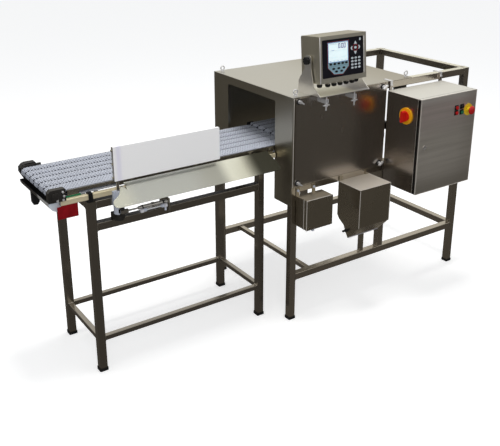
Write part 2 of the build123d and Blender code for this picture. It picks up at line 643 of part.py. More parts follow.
with BuildPart() as junction_lid:
    rbox("y", -228, -203, 1076, 1248, 561, 728, 4)
    rbox("y", -226, -202, 1078, 1246, 563, 726, 2, mode=Mode.SUBTRACT)
    for x, z in ((1088, 716), (1236, 716), (1088, 573), (1236, 573)):
        cyl("y", x, z, -230, -226, 4)
keep(junction_lid, "junction_lid")

with BuildPart() as junction_board:
    block(1090, 1234, -142, -139, 575, 690)
    for k in range(5):
        block(1100 + 26 * k, 1118 + 26 * k, -158, -142, 600, 618)
keep(junction_board, "junction_board", "junction_box")

with BuildPart() as cable_gland:
    hexa("z", 1158, -178, 551, 561, 12)
    cyl("z", 1158, -178, 561, 568, 8)
    cyl("z", 1158, -178, 530, 551, 9.5)
    cyl("z", 1158, -178, 526, 530, 7)
    cyl("z", 1158, -178, 525, 569, 3.5, mode=Mode.SUBTRACT)
keep(cable_gland, "cable_gland", "junction_box")

HX0, HX1 = 1365.0, 1580.0
hood_prof = [(-133, 748), (-309, 748), (-309, 533), (-225, 447), (-204, 476), (-190, 510), (-150, 534), (-133, 556)]
hood_in = [(-130, 745.5), (-306.5, 745.5), (-306.5, 534), (-225, 450.6), (-206.3, 476.7), (-191.8, 512), (-151.3, 536.4), (-130, 556)]
with BuildPart() as hood:
    prism("x", hood_prof, HX0, HX1)
    prism("x", hood_in, HX0 + 2, HX1 - 2, mode=Mode.SUBTRACT)
    block(HX0 - 1.5, HX1 + 1.5, -311, FR_Y0, 746, 748.6)
    for x in (HX0 + 2, HX1 - 26):
        block(x, x + 24, -138, FR_Y0, 748, 776)
keep(hood, "hood")

with BuildPart() as valve_manifold:
    block(1400, 1545, -170, -135, 590, 690)
    for k in range(3):
        block(1412 + 44 * k, 1446 + 44 * k, -215, -170, 600, 680)
    block(1455, 1490, -170, -133, 690, 745.5)
keep(valve_manifold, "valve_manifold", "hood")

with BuildPart() as hood_gland:
    cyl("x", -212, 487, 1340, 1367, 6)
    hexa("x", -212, 487, 1356, 1365, 9)
keep(hood_gland, "hood_gland", "hood")

# ============================ control box ================================
with BuildPart() as control_box:
    rbox("y", BOX_YF, BOX_YB, BOX_X0, BOX_X1, BOX_Z0, BOX_Z1, 4)
    rbox("y", BOX_YF - 1, BOX_YB - 2, BOX_X0 + 2, BOX_X1 - 2, BOX_Z0 + 2, BOX_Z1 - 2, 2, mode=Mode.SUBTRACT)
    cyl("x", -288, 1096, BOX_X0 - 1, BOX_X0 + 3, 8, mode=Mode.SUBTRACT)
    # box half of the hinges
    for z in (770, 1080):
        cyl("z", BOX_X1 + 6, -369, z, z + 22, 5)
        block(BOX_X1, BOX_X1 + 8, -366, -354, z, z + 22)
        cyl("z", BOX_X1 + 6, -369, z - 1, z + 23, 2.95, mode=Mode.SUBTRACT)
keep(control_box, "control_box")

with BuildPart() as hinge_pins:
    for z in (770, 1080):
        cyl("z", BOX_X1 + 6, -369, z - 0.0, z + 44, 2.95)
keep(hinge_pins, "hinge_pins", "control_box")

with BuildPart() as control_box_hangers:
    for x in (1697, 2081):
        block(x, x + 18, BOX_YB, FR_Y0, 1120, FR_H + 3)
        block(x, x + 18, FR_Y0, -88, FR_H + (2 if x < CAB_X1 else 0), FR_H + 5)
        block(x, x + 18, BOX_YB, FR_Y0, FR_H, FR_H + 5)
        hexa("y", x + 9, 1232, BOX_YB - 5, BOX_YB, 7)
    block(1697, 1715, BOX_YB, FR_Y0, 700, 760)
keep(control_box_hangers, "control_box_hangers", "control_box")

with BuildPart() as control_backplate:
    block(1712, 2076, -151, -148.5, 708, 1174)
    for x, z in ((1722, 720), (2066, 720), (1722, 1162), (2066, 1162)):
        cyl("y", x, z, -148.5, -145, 5)
keep(control_backplate, "control_backplate")

with BuildPart() as control_modules:
    block(1730, 2058, -158, -151, 1088, 1112)
    for k in range(4):
        block(1740 + 62 * k, 1796 + 62 * k, -235, -158, 1050, 1150)
    block(1740, 1850, -290, -151, 790, 990)
    block(1870, 1960, -250, -151, 830, 990)
    block(1730, 2058, -158, -151, 740, 764)
    for k in range(12):
        block(1738 + 26 * k, 1760 + 26 * k, -205, -158, 728, 776)
keep(control_modules, "control_modules", "control_backplate")

with BuildPart() as disconnect_plate:
    cyl("x", -288, 1096, BOX_X0 - 6, BOX_X0, 45)
    cyl("x", -288, 1096, BOX_X0 - 7, BOX_X0 + 1, 8.6, mode=Mode.SUBTRACT)
keep(disconnect_plate, "disconnect_plate", "control_box")

with BuildPart() as disconnect_handle:
    cyl("x", -288, 1096, BOX_X0 - 14, BOX_X0 - 6.3, 27)
    with BuildSketch(plane_at("x", BOX_X0 - 38, -288, 1096)) as s:
        SlotOverall(62, 17, rotation=90)
    extrude(s.sketch, amount=24)
    cyl("x", -288, 1096, BOX_X0 - 8, BOX_X0 + 60, 7.9)
keep(disconnect_handle, "disconnect_handle")

with BuildPart() as control_door:
    rbox("y", DOOR_YF, -370.2, BOX_X0, BOX_X1, BOX_Z0, BOX_Z1, 4)
    fillet(faces().sort_by(Axis.Y)[0].edges(), radius=2.5)
    rbox("y", DOOR_YF + 2, -369, BOX_X0 + 2, BOX_X1 - 2, BOX_Z0 + 2, BOX_Z1 - 2, 2, mode=Mode.SUBTRACT)
    for x, z in ((1953, 1123), (1953, 1095), (1995, 1124), (1995, 1093), (2046, 1100)):
        cyl("y", x, z, DOOR_YF - 1, DOOR_YF + 3, 8.2, mode=Mode.SUBTRACT)
    cyl("y", 1728, 938, DOOR_YF - 1, DOOR_YF + 3, 9.1, mode=Mode.SUBTRACT)
    # door half of the hinges
    for z in (792.4, 1102.4):
        cyl("z", BOX_X1 + 6, -369, z, z + 21.2, 5)
        block(BOX_X1 - 1, BOX_X1 + 6, -382, -371, z, z + 21.2)
        block(BOX_X1 + 3, BOX_X1 + 8, -377, -369, z, z + 21.2)
        cyl("z", BOX_X1 + 6, -369, z - 1, z + 23, 3.02, mode=Mode.SUBTRACT)
keep(control_door, "control_door")

with BuildPart() as door_gasket:
    rbox("y", -387.9, -370.4, 1690, 2098, 686, 1196, 4)
    rbox("y", -389, -369, 1702, 2086, 698, 1184, 4, mode=Mode.SUBTRACT)
keep(door_gasket, "door_gasket", "control_door")

BTN = {"red_upper": (1953, 1123), "red_lower": (1953, 1095), "black": (1995, 1124), "green": (1995, 1093)}
with BuildPart() as button_bezels:
    for x, z in BTN.values():
        cyl("y", x, z, DOOR_YF - 4, DOOR_YF, 13)
        cyl("y", x, z, DOOR_YF, DOOR_YF + 30, 8.1)
        cyl("y", x, z, DOOR_YF - 5, DOOR_YF - 1, 10.2, mode=Mode.SUBTRACT)
        cyl("y", x, z, DOOR_YF - 5, DOOR_YF + 22, 5.2, mode=Mode.SUBTRACT)
        cyl("y", x, z, DOOR_YF + 2, DOOR_YF + 7, 12)
        cyl("y", x, z, DOOR_YF + 1, DOOR_YF + 8, 8.1, mode=Mode.SUBTRACT)
        cyl("y", x, z, DOOR_YF + 1, DOOR_YF + 8, 8.1)
        cyl("y", x, z, DOOR_YF + 1, DOOR_YF + 9, 5.2, mode=Mode.SUBTRACT)
keep(button_bezels, "button_bezels")

for k, (x, z) in BTN.items():
    with BuildPart() as btn:
        cyl("y", x, z, DOOR_YF - 9, DOOR_YF - 4.4, 9.7)
        cyl("y", x, z, DOOR_YF - 4.4, DOOR_YF + 12, 4.8)
    keep(btn, "button_" + k)

EX, EZ = 2046.0, 1100.0
with BuildPart() as estop_plate:
    cyl("y", EX, EZ, DOOR_YF - 2, DOOR_YF, 33)
    cyl("y", EX, EZ, DOOR_YF - 16, DOOR_YF - 2, 15)
    cyl("y", EX, EZ, DOOR_YF, DOOR_YF + 28, 8.1)
    cyl("y", EX, EZ, DOOR_YF - 17, DOOR_YF + 24, 6.2, mode=Mode.SUBTRACT)
keep(estop_plate, "estop_plate", "button_bezels")

with BuildPart() as estop_plunger:
    cyl("y", EX, EZ, DOOR_YF - 22, DOOR_YF + 16, 5.9)
keep(estop_plunger, "estop_plunger", "estop_head")

with BuildPart() as estop_head:
    with BuildSketch(Plane(origin=(EX, 0, EZ), x_dir=(1, 0, 0), z_dir=(0, 0, 1))) as s:
        with BuildLine():
            Polyline((0, DOOR_YF - 22), (18, DOOR_YF - 22), (23, DOOR_YF - 25))
            Spline((23, DOOR_YF - 25), (20.5, DOOR_YF - 32), (12, DOOR_YF - 36), (0, DOOR_YF - 37.2), tangents=((0.1, -1), (-1, 0)))
            Line((0, DOOR_YF - 37.2), (0, DOOR_YF - 22))
        make_face()
    revolve(s.sketch, axis=Axis((EX, 0, EZ), (0, 1, 0)))
keep(estop_head, "estop_head")

with BuildPart() as door_lock:
    cyl("y", 1728, 938, DOOR_YF - 3, DOOR_YF - 0.2, 12)
    cyl("y", 1728, 938, DOOR_YF - 0.2, DOOR_YF + 14, 9)
    block(1724.5, 1731.5, DOOR_YF - 4, DOOR_YF - 2, 933, 943, mode=Mode.SUBTRACT)
    block(1721, 1735, DOOR_YF + 14, DOOR_YF + 17, 915, 948)
keep(door_lock, "door_lock")

# ============================= indicator =================================
UF, UB = -178.6, -34.6              # front and back before the tilt
UZ0, UZ1 = 1306.9, 1538.9
tilt = Location((0, PIV_Y, PIV_Z), (IND_TILT, 0, 0)) * Location((0, -PIV_Y, -PIV_Z))


def tilted(p):
    return p.moved(tilt)


def gland_y(k):
    return -134 if k in (0, 6) else -150


with BuildPart() as ind_case_up:
    prism("x", [(UF + 2, UZ0), (UF + 2, UZ1), (UB - 6, UZ1), (UB, UZ1 - 6), (UB, UZ0 + 6), (UB - 6, UZ0)], IND_X0, IND_X1)
    prism("x", [(UF + 1, UZ0 + 2), (UF + 1, UZ1 - 2), (UB - 7, UZ1 - 2), (UB - 2, UZ1 - 7), (UB - 2, UZ0 + 7), (UB - 7, UZ0 + 2)],
          IND_X0 + 2, IND_X1 - 2, mode=Mode.SUBTRACT)
    for k in range(7):
        cyl("z", IND_X0 + 32 + 40 * k, gland_y(k), UZ0 - 1, UZ0 + 3, 8, mode=Mode.SUBTRACT)
    for x0, x1 in ((IND_X0 - 6.6, IND_X0 + 2), (IND_X1 - 2, IND_X1 + 6.6)):
        cyl("x", PIV_Y, PIV_Z, x0, x1, 14)
        cyl("x", PIV_Y, PIV_Z, x0 - 3, x1 + 3, 5.0, mode=Mode.SUBTRACT)
keep(ind_case_up, "indicator_case", place=tilt)

with BuildPart() as ind_front_up:
    rbox("y", UF, UF + 2, IND_X0, IND_X1, UZ0, UZ1, 3)
    rbox("y", UF + 2, UF + 10, IND_X0 + 2.2, IND_X1 - 2.2, UZ0 + 2.2, UZ1 - 2.2, 3)
    rbox("y", UF + 1.9, UF + 11, IND_X0 + 4, IND_X1 - 4, UZ0 + 4, UZ1 - 4, 3, mode=Mode.SUBTRACT)
    block(IND_X0 + 55, IND_X0 + 190, UF - 1, UF + 3, UZ0 + 99, UZ0 + 202, mode=Mode.SUBTRACT)
keep(ind_front_up, "indicator_front", "indicator_case", place=tilt)

with BuildPart() as ind_overlay_up:
    rbox("y", UF - 1.2, UF, IND_X0 + 26, IND_X0 + 284, UZ0 + 25, UZ0 + 214, 4)
    block(IND_X0 + 55, IND_X0 + 190, UF - 2, UF + 3, UZ0 + 99, UZ0 + 202, mode=Mode.SUBTRACT)
keep(ind_overlay_up, "indicator_keypad", place=tilt)

with BuildPart() as ind_lcd_up:
    block(IND_X0 + 55, IND_X0 + 190, UF - 0.6, UF + 4, UZ0 + 99, UZ0 + 202)
keep(ind_lcd_up, "indicator_display", "indicator_keypad", place=tilt)

with BuildPart() as ind_board_up:
    block(IND_X0 + 30, IND_X1 - 30, UF + 14, UF + 17, UZ0 + 25, UZ1 - 25)
    block(IND_X0 + 60, IND_X0 + 180, UF + 17, UF + 40, UZ0 + 60, UZ0 + 130)
    for x, z in ((IND_X0 + 40, UZ0 + 35), (IND_X1 - 40, UZ0 + 35), (IND_X0 + 40, UZ1 - 35), (IND_X1 - 40, UZ1 - 35)):
        cyl("y", x, z, UF + 2, UF + 14, 4)
keep(ind_board_up, "indicator_board", "indicator_case", place=tilt)

with BuildPart() as ind_glands_up:
    for k in range(7):
        x, y = IND_X0 + 32 + 40 * k, gland_y(k)
        cyl("z", x, y, UZ0 - 3, UZ0 + 9, 8)
        hexa("z", x, y, UZ0 - 9, UZ0, 14)
        cyl("z", x, y, UZ0 - 21, UZ0 - 9, 12.5)
keep(ind_glands_up, "indicator_glands", "indicator_case", place=tilt)

BR_X0, BR_X1 = 1160.0, 1481.0       # inner faces 3.3 mm clear of the bosses
with BuildPart() as indicator_bracket:
    block(BR_X0 - 1, BR_X1 + 5, -206, -26, FR_H + 2, FR_H + 5)
    for x0, x1 in ((BR_X0 - 1, BR_X0 + 3), (BR_X1 + 1, BR_X1 + 5)):
        prism("x", [(-206, FR_H + 2), (-26, FR_H + 2), (-30, FR_H + 60), (-75, 1380), (-78, 1438), (-84, 1446), (-116, 1446),
                    (-122, 1438), (-126, 1380), (-150, FR_H + 45)], x0, x1)
        cyl("x", PIV_Y, PIV_Z, x0 - 1, x1 + 1, 5.06, mode=Mode.SUBTRACT)
keep(indicator_bracket, "indicator_bracket")

with BuildPart() as bracket_clamps:
    for x in (1205, 1390):
        block(x - 9, x + 9, -205, -139, 1216, 1219)
        block(x - 9, x - 6, -205, -139, 1219, 1238)
        block(x + 6, x + 9, -205, -139, 1219, 1238)
        cyl("z", x, -198, 1180, FR_H + 2, 4)
        cyl("z", x, -198, 1200, 1216, 8)
        cyl("x", -198, 1206, x - 20, x + 20, 3)
keep(bracket_clamps, "bracket_clamps", "indicator_bracket")

for name, x0, x1 in (("tilt_knob_left", BR_X0 - 1.4, BR_X0 - 19), ("tilt_knob_right", BR_X1 + 5.4, BR_X1 + 23)):
    with BuildPart() as knob:
        lo, hi = min(x0, x1), max(x0, x1)
        cyl("x", PIV_Y, PIV_Z, lo, hi, 19)
        for k in range(8):
            a = 2 * pi * k / 8
            cyl("x", PIV_Y + 22 * cos(a), PIV_Z + 22 * sin(a), lo - 1, hi + 1, 6, mode=Mode.SUBTRACT)
        if "left" in name:
            cyl("x", PIV_Y, PIV_Z, hi - 1, IND_X0 + 10, 4.95)
        else:
            cyl("x", PIV_Y, PIV_Z, IND_X1 - 10, lo + 1, 4.95)
    keep(knob, name)

# ============================ write all ==================================
os.makedirs("parts", exist_ok=True)
for old in os.listdir("parts"):
    if old.endswith(".step"):
        os.remove(os.path.join("parts", old))
lo, hi = [1e9] * 3, [-1e9] * 3
nodes = {}
for shape, name, node in pieces:
    nodes.setdefault(node, []).extend(shape.moved(Location((-ORIGIN_X, -ORIGIN_Y, 0))).solids())
for name, solids in nodes.items():
    part = Compound(solids) if len(solids) > 1 else solids[0]
    part.label = name
    bb = part.bounding_box()
    for i, (a, c) in enumerate(zip(tuple(bb.min), tuple(bb.max))):
        lo[i], hi[i] = min(lo[i], a), max(hi[i], c)
    export_step(part, "parts/" + name + ".step")
print(len(nodes), "nodes,", sum(len(v) for v in nodes.values()), "solids; box", [round(v, 2) for v in lo], [round(v, 2) for v in hi])
print("origin should move by", round((lo[0] + hi[0]) / 2, 3), round((lo[1] + hi[1]) / 2, 3))
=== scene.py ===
import bpy
import bmesh
import math
from math import sin, cos, pi, radians
from mathutils import Vector, Matrix


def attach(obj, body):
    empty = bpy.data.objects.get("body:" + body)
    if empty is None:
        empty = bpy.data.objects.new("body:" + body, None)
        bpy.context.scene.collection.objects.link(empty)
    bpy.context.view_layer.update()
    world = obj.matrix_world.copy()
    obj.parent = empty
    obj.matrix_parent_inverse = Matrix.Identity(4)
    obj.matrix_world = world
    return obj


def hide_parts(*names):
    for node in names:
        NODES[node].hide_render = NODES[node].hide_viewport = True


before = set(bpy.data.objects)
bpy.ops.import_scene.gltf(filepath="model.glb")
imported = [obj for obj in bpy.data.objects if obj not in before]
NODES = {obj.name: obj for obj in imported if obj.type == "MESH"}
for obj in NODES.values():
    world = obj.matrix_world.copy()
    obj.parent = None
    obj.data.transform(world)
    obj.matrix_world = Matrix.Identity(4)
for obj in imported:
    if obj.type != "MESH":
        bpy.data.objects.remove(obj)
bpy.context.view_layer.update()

# layout millimetres to metres in the shared frame
OX, OY = 1080.5, 90.4


def P(x, y, z):
    return Vector(((x - OX) / 1000, (y - OY) / 1000, z / 1000))


# ============================ materials ==================================
class Mat:
    """small helper that wires a procedural principled material"""

    def __init__(self, name):
        self.m = bpy.data.materials.new(name)
        self.m.use_nodes = True
        self.t = self.m.node_tree
        self.b = self.t.nodes["Principled BSDF"]
        self.tc = self.t.nodes.new("ShaderNodeTexCoord")

    def put(self, socket, value):
        self.b.inputs[socket].default_value = value

    def link(self, a, b):
        self.t.links.new(a, b)

    def coord(self, scale=(1, 1, 1), rot=(0, 0, 0)):
        mp = self.t.nodes.new("ShaderNodeMapping")
        mp.inputs["Scale"].default_value = scale
        mp.inputs["Rotation"].default_value = rot
        self.link(self.tc.outputs["Object"], mp.inputs["Vector"])
        return mp.outputs["Vector"]

    def noise(self, vec, scale, detail=3.0, rough=0.55):
        n = self.t.nodes.new("ShaderNodeTexNoise")
        n.inputs["Scale"].default_value = scale
        n.inputs["Detail"].default_value = detail
        n.inputs["Roughness"].default_value = rough
        self.link(vec, n.inputs["Vector"])
        return n.outputs["Fac"]

    def remap(self, v, lo, hi, a=0.3, b=0.7):
        r = self.t.nodes.new("ShaderNodeMapRange")
        r.inputs["From Min"].default_value = a
        r.inputs["From Max"].default_value = b
        r.inputs["To Min"].default_value = lo
        r.inputs["To Max"].default_value = hi
        self.link(v, r.inputs["Value"])
        return r.outputs["Result"]

    def math(self, op, a, b):
        n = self.t.nodes.new("ShaderNodeMath")
        n.operation = op
        for k, v in enumerate((a, b)):
            if isinstance(v, (int, float)):
                n.inputs[k].default_value = v
            else:
                self.link(v, n.inputs[k])
        return n.outputs[0]

    def mix(self, fac, a, b):
        n = self.t.nodes.new("ShaderNodeMix")
        n.data_type = "RGBA"
        for name, v in (("Factor", fac),):
            if isinstance(v, (int, float)):
                n.inputs[0].default_value = v
            else:
                self.link(v, n.inputs[0])
        for k, v in ((6, a), (7, b)):
            if isinstance(v, tuple):
                n.inputs[k].default_value = (*v, 1.0)
            else:
                self.link(v, n.inputs[k])
        return n.outputs[2]

    def bump(self, h, strength, dist):
        n = self.t.nodes.new("ShaderNodeBump")
        n.inputs["Strength"].default_value = strength
        n.inputs["Distance"].default_value = dist
        self.link(h, n.inputs["Height"])
        self.link(n.outputs["Normal"], self.b.inputs["Normal"])

    def along(self, axis, a, b):
        """0 at layout millimetre a, 1 at b, smooth between"""
        sp = self.t.nodes.new("ShaderNodeSeparateXYZ")
        self.link(self.tc.outputs["Object"], sp.inputs[0])
        k = "xyz".index(axis)
        off = (OX, OY, 0.0)[k]
        r = self.t.nodes.new("ShaderNodeMapRange")
        r.interpolation_type = "SMOOTHSTEP"
        r.inputs["From Min"].default_value = (a - off) / 1000
        r.inputs["From Max"].default_value = (b - off) / 1000
        self.link(sp.outputs[k], r.inputs["Value"])
        return r.outputs["Result"]


def scaled(c, k):
    return tuple(min(1.0, v * k) for v in c)


def steel(name, base, rough, line="z", contrast=0.05, smudge=0.05, tint=(1.0, 0.97, 0.9), metal=1.0, painted_light_fade=None):
    """brushed stainless: very fine lines along one axis, soft smudges, a slow tint;
    the last argument, a fade (axis, from mm, to mm, colour), is painted shade and painted reflection: the base turns
    into a darker colour along an axis"""
    m = Mat(name)
    fine = {"x": (4, 900, 900), "y": (900, 4, 900), "z": (900, 900, 4)}[line]
    wide = {"x": (1.0, 160, 160), "y": (160, 1.0, 160), "z": (160, 160, 1.0)}[line]
    a = m.noise(m.coord(fine), 1.0, 2.0, 0.5)
    b = m.noise(m.coord(wide), 1.0, 2.0, 0.5)
    c = m.noise(m.coord(), 3.0, 3.0, 0.5)
    d = m.noise(m.coord(), 1.1, 2.0, 0.5)
    lines = m.math("ADD", m.math("MULTIPLY", a, 0.7), m.math("MULTIPLY", b, 0.3))
    f = m.remap(lines, 0.0, 1.0, 0.30, 0.70)
    col = m.mix(f, scaled(base, 1 - contrast), scaled(base, 1 + contrast))
    # painted shade and painted reflection: the base colour darkens along an axis
    if painted_light_fade:
        ax, u0, u1, other = painted_light_fade
        col = m.mix(m.along(ax, u0, u1), col, other)
    warm = m.mix(m.remap(d, 0.0, 0.55), (1, 1, 1), tint)
    mul = m.t.nodes.new("ShaderNodeMix")
    mul.data_type = "RGBA"
    mul.blend_type = "MULTIPLY"
    mul.inputs[0].default_value = 1.0
    m.link(col, mul.inputs[6])
    m.link(warm, mul.inputs[7])
    m.link(mul.outputs[2], m.b.inputs["Base Color"])
    m.put("Metallic", metal)
    r = m.math("ADD", m.remap(c, rough - smudge / 2, rough + smudge / 2), m.remap(a, -0.008, 0.008))
    m.link(r, m.b.inputs["Roughness"])
    m.bump(lines, 0.02, 0.00004)
    return m.m


def plastic(name, base, rough, vary=0.06, grain=900, bump=0.06, scale=4.0, coat=0.0, spec=0.5, dirt=None, subsurface=0.0):
    m = Mat(name)
    a = m.noise(m.coord(), scale, 4.0, 0.6)
    g = m.noise(m.coord(), grain, 2.0, 0.5)
    col = m.mix(m.remap(a, 0.0, 1.0), scaled(base, 1 - vary), scaled(base, 1 + vary))
    if dirt:
        d = m.noise(m.coord(), scale * 5, 6.0, 0.7)
        col = m.mix(m.remap(d, 0.0, 0.5, 0.52, 0.75), col, dirt)
    m.link(col, m.b.inputs["Base Color"])
    m.link(m.remap(a, rough - 0.05, rough + 0.05), m.b.inputs["Roughness"])
    m.put("Specular IOR Level", spec)
    if coat:
        m.put("Coat Weight", coat)
        m.put("Coat Roughness", 0.08)
    m.bump(g, bump, 0.0003)
    return m.m


S = {}
for ax in "xyz":
    S["tube_" + ax] = steel("steel_tube_" + ax, (0.37, 0.345, 0.315), 0.20, ax, 0.04)
    S["frame_" + ax] = steel("steel_frame_" + ax, (0.54, 0.50, 0.45), 0.22, ax, 0.04)
# painted light: a lighter, less metallic copy of the frame steel for the lit top faces of the top rails
S["rail_top_painted_light"] = steel("steel_rail_top_painted_light", (0.72, 0.70, 0.58), 0.30, "x", 0.05, 0.08, (1.0, 0.97, 0.88), 0.36)
S["sheet_z"] = steel("steel_sheet_z", (0.48, 0.46, 0.42), 0.26, "z", 0.03)
S["sheet_x"] = steel("steel_sheet_x", (0.50, 0.48, 0.43), 0.27, "x", 0.08)
S["panel"] = steel("steel_front_panel", (0.455, 0.425, 0.395), 0.25, "z", 0.03, 0.05, (1.0, 0.94, 0.88))
S["endpanel"] = steel("steel_end_panel", (0.47, 0.445, 0.375), 0.32, "z", 0.03, 0.06)
# painted shade: a dark copy of the steel for the inside and underside faces of the cabinet, cover, front panel and
# chute
S["inner"] = steel("steel_inside_painted_shade", (0.20, 0.192, 0.17), 0.34, "z", 0.10, 0.06)
# top cover: painted reflection, the base darkens from x 1350 to x 1900
S["topcover"] = steel("steel_top_cover_painted_reflection", (0.78, 0.77, 0.73), 0.34, "x", 0.03, 0.06, (1.0, 0.98, 0.93), 1.0, ("x", 1350, 1900, (0.60, 0.565, 0.49)))
S["box"] = steel("steel_control_box", (0.50, 0.47, 0.46), 0.25, "z", 0.03, 0.05)
# painted light: a lighter, less metallic copy of the box steel for the lit top faces of the control box and its door
S["box_top_painted_light"] = steel("steel_control_box_top_painted_light", (0.72, 0.71, 0.66), 0.38, "x", 0.03, 0.05, (1.0, 0.98, 0.94), 0.45)
# painted light: a lighter copy of the hood steel for the lit top faces of the junction box and its lid
S["junction_top_painted_light"] = steel("steel_junction_top_painted_light", (0.50, 0.46, 0.39), 0.32, "x", 0.03, 0.06, (1.0, 0.97, 0.92), 0.86)
# painted light: a less metallic copy for the lit left side of the control door
S["door_side_painted_light"] = steel("steel_door_side_painted_light", (0.52, 0.49, 0.46), 0.30, "z", 0.03, 0.05, (1, 0.98, 0.95), 0.75)
S["hood"] = steel("steel_hood", (0.455, 0.415, 0.345), 0.27, "z", 0.03, 0.06)
# painted light: a lighter, far less metallic copy of the hood steel for the lit top faces of the hood
S["hood_top_painted_light"] = steel("steel_hood_top_painted_light", (0.70, 0.645, 0.57), 0.34, "x", 0.03, 0.06, (1.0, 0.97, 0.92), 0.26)
S["ribs"] = steel("steel_ribs", (0.60, 0.60, 0.68), 0.34, "z", 0.06, 0.06, (1, 1, 1), 0.6)
S["bracket"] = steel("steel_bracket", (0.78, 0.76, 0.73), 0.30, "z", 0.04, 0.06, (1.0, 0.98, 0.94), 0.85)
# painted light: a lighter, less metallic copy for the lit top face of the indicator's base plate, with a painted
# reflection that turns it darker past x 1370 to 1430
S["base_plate_top_painted_light"] = steel("steel_base_plate_top_painted_light", (0.86, 0.84, 0.74), 0.40, "x", 0.03, 0.05, (1.0, 0.98, 0.94), 0.70, ("x", 1370, 1430, (0.58, 0.57, 0.60)))
# painted shadow: the nose guard turns near black from y 140 to y 190
S["guard"] = steel("steel_nose_guard_painted_shadow", (0.72, 0.72, 0.71), 0.30, "y", 0.05, 0.08, (1.0, 0.98, 0.94), 0.38, ("y", 140, 190, (0.035, 0.033, 0.032)))
S["endplate"] = plastic("end_plate", (0.80, 0.87, 0.96), 0.36, 0.03, 500, 0.05, 9)
S["bolt"] = steel("steel_bolt", (0.66, 0.65, 0.64), 0.24, "z", 0.05, 0.08, (1, 1, 1), 0.80)
S["nickel"] = steel("nickel_bright", (0.80, 0.80, 0.82), 0.26, "z", 0.05, 0.08, (1, 1, 1), 0.55)
S["shaft"] = steel("steel_shaft", (0.60, 0.59, 0.58), 0.18, "y", 0.03, 0.05, (1, 1, 1))
S["weld"] = steel("steel_weld", (0.46, 0.43, 0.40), 0.34, "z", 0.18, 0.16)
S["brass"] = steel("brass_thread", (0.62, 0.48, 0.25), 0.28, "z", 0.10, 0.10, (1, 0.92, 0.8))
S["alu"] = steel("aluminium_cell", (0.70, 0.71, 0.72), 0.35, "x", 0.05, 0.08, (1, 1, 1))
S["indcase"] = steel("steel_indicator", (0.70, 0.665, 0.56), 0.33, "z", 0.03, 0.05, (1, 0.98, 0.94), 0.92)
S["indfront"] = steel("steel_indicator_front", (0.66, 0.64, 0.57), 0.34, "x", 0.04, 0.05, (1, 0.98, 0.94), 0.85)
# painted highlight: pale, half-matt steel for the beads down the indicator face
S["bead_painted_highlight"] = steel("steel_edge_bead_painted_highlight", (0.86, 0.84, 0.86), 0.34, "z", 0.04, 0.05, (1, 1, 1), 0.35)
# painted highlight: pale, half-matt steel for the beads along the folded edges
S["edge"] = steel("steel_fold_painted_highlight", (0.78, 0.74, 0.69), 0.30, "z", 0.04, 0.05, (1, 0.98, 0.95), 0.40)
S["seam"] = plastic("seam_shadow", (0.010, 0.009, 0.008), 0.6, 0.2, 500, 0.05, 12, spec=0.1)
S["plate"] = steel("zinc_plate", (0.62, 0.62, 0.60), 0.42, "z", 0.05, 0.10, (1, 1, 0.95))
# painted reflection: a cream, half-matt copy of the rail steel that stands in for a warm glow mirrored in the near
# rails
S["rail_painted_glow"] = steel("steel_rail_painted_glow", (0.86, 0.80, 0.60), 0.30, "x", 0.12, 0.12, (0.80, 0.64, 0.42), 0.30)

S["rubber"] = plastic("rubber_boot", (0.012, 0.012, 0.012), 0.62, 0.25, 700, 0.25, 20, spec=0.2)
S["black"] = plastic("black_moulded", (0.013, 0.013, 0.014), 0.42, 0.2, 800, 0.12, 12, spec=0.25)
S["blackgloss"] = plastic("black_gloss", (0.010, 0.010, 0.011), 0.24, 0.15, 900, 0.03, 10, spec=0.35)
S["darkblock"] = plastic("bearing_block", (0.026, 0.024, 0.022), 0.36, 0.25, 600, 0.10, 18, spec=0.28)
S["motor"] = plastic("motor_paint", (0.014, 0.014, 0.015), 0.38, 0.2, 500, 0.15, 12, spec=0.28)
S["belt"] = plastic("belt_plastic", (0.45, 0.475, 0.54), 0.42, 0.04, 500, 0.05, 9, dirt=(0.38, 0.40, 0.475), spec=0.3)
S["beltpin"] = plastic("belt_pin", (0.36, 0.38, 0.46), 0.45, 0.05, 500, 0.05, 9, spec=0.3)
# painted shade: near-black blocks standing in for the shaded openings of the belt
S["beltdark"] = plastic("belt_pocket_painted_shade", (0.012, 0.013, 0.024), 0.55, 0.20, 500, 0.05, 9, spec=0.15)
# painted soft shade: grey blocks standing in for the smaller openings of the belt
S["beltgrey"] = plastic("belt_pocket_painted_soft_shade", (0.13, 0.14, 0.21), 0.55, 0.15, 500, 0.05, 9, spec=0.15)
S["white"] = plastic("white_plastic", (0.72, 0.72, 0.76), 0.40, 0.03, 400, 0.05, 5)
S["bluewhite"] = plastic("bluish_plastic", (0.58, 0.62, 0.72), 0.36, 0.05, 500, 0.06, 12)
S["green"] = plastic("green_strip", (0.015, 0.20, 0.085), 0.45, 0.12, 500, 0.08, 14, spec=0.2)
S["tag"] = plastic("tag_red", (0.26, 0.006, 0.010), 0.55, 0.22, 500, 0.08, 25, spec=0.08)
S["red"] = plastic("button_red", (0.50, 0.008, 0.010), 0.26, 0.08, 900, 0.03, 12, coat=0.4, spec=0.3)
S["redhandle"] = plastic("handle_red", (0.62, 0.016, 0.010), 0.34, 0.08, 900, 0.06, 12, spec=0.3)
S["yellow"] = plastic("plate_yellow", (0.86, 0.40, 0.010), 0.36, 0.05, 900, 0.06, 10, spec=0.3)
S["yellowe"] = plastic("estop_yellow", (0.84, 0.58, 0.020), 0.38, 0.05, 900, 0.06, 10, spec=0.3)
S["btnblack"] = plastic("button_black", (0.010, 0.010, 0.012), 0.25, 0.1, 900, 0.03, 12, coat=0.4)
S["btngreen"] = plastic("button_green", (0.010, 0.16, 0.08), 0.28, 0.08, 900, 0.03, 12, coat=0.3)
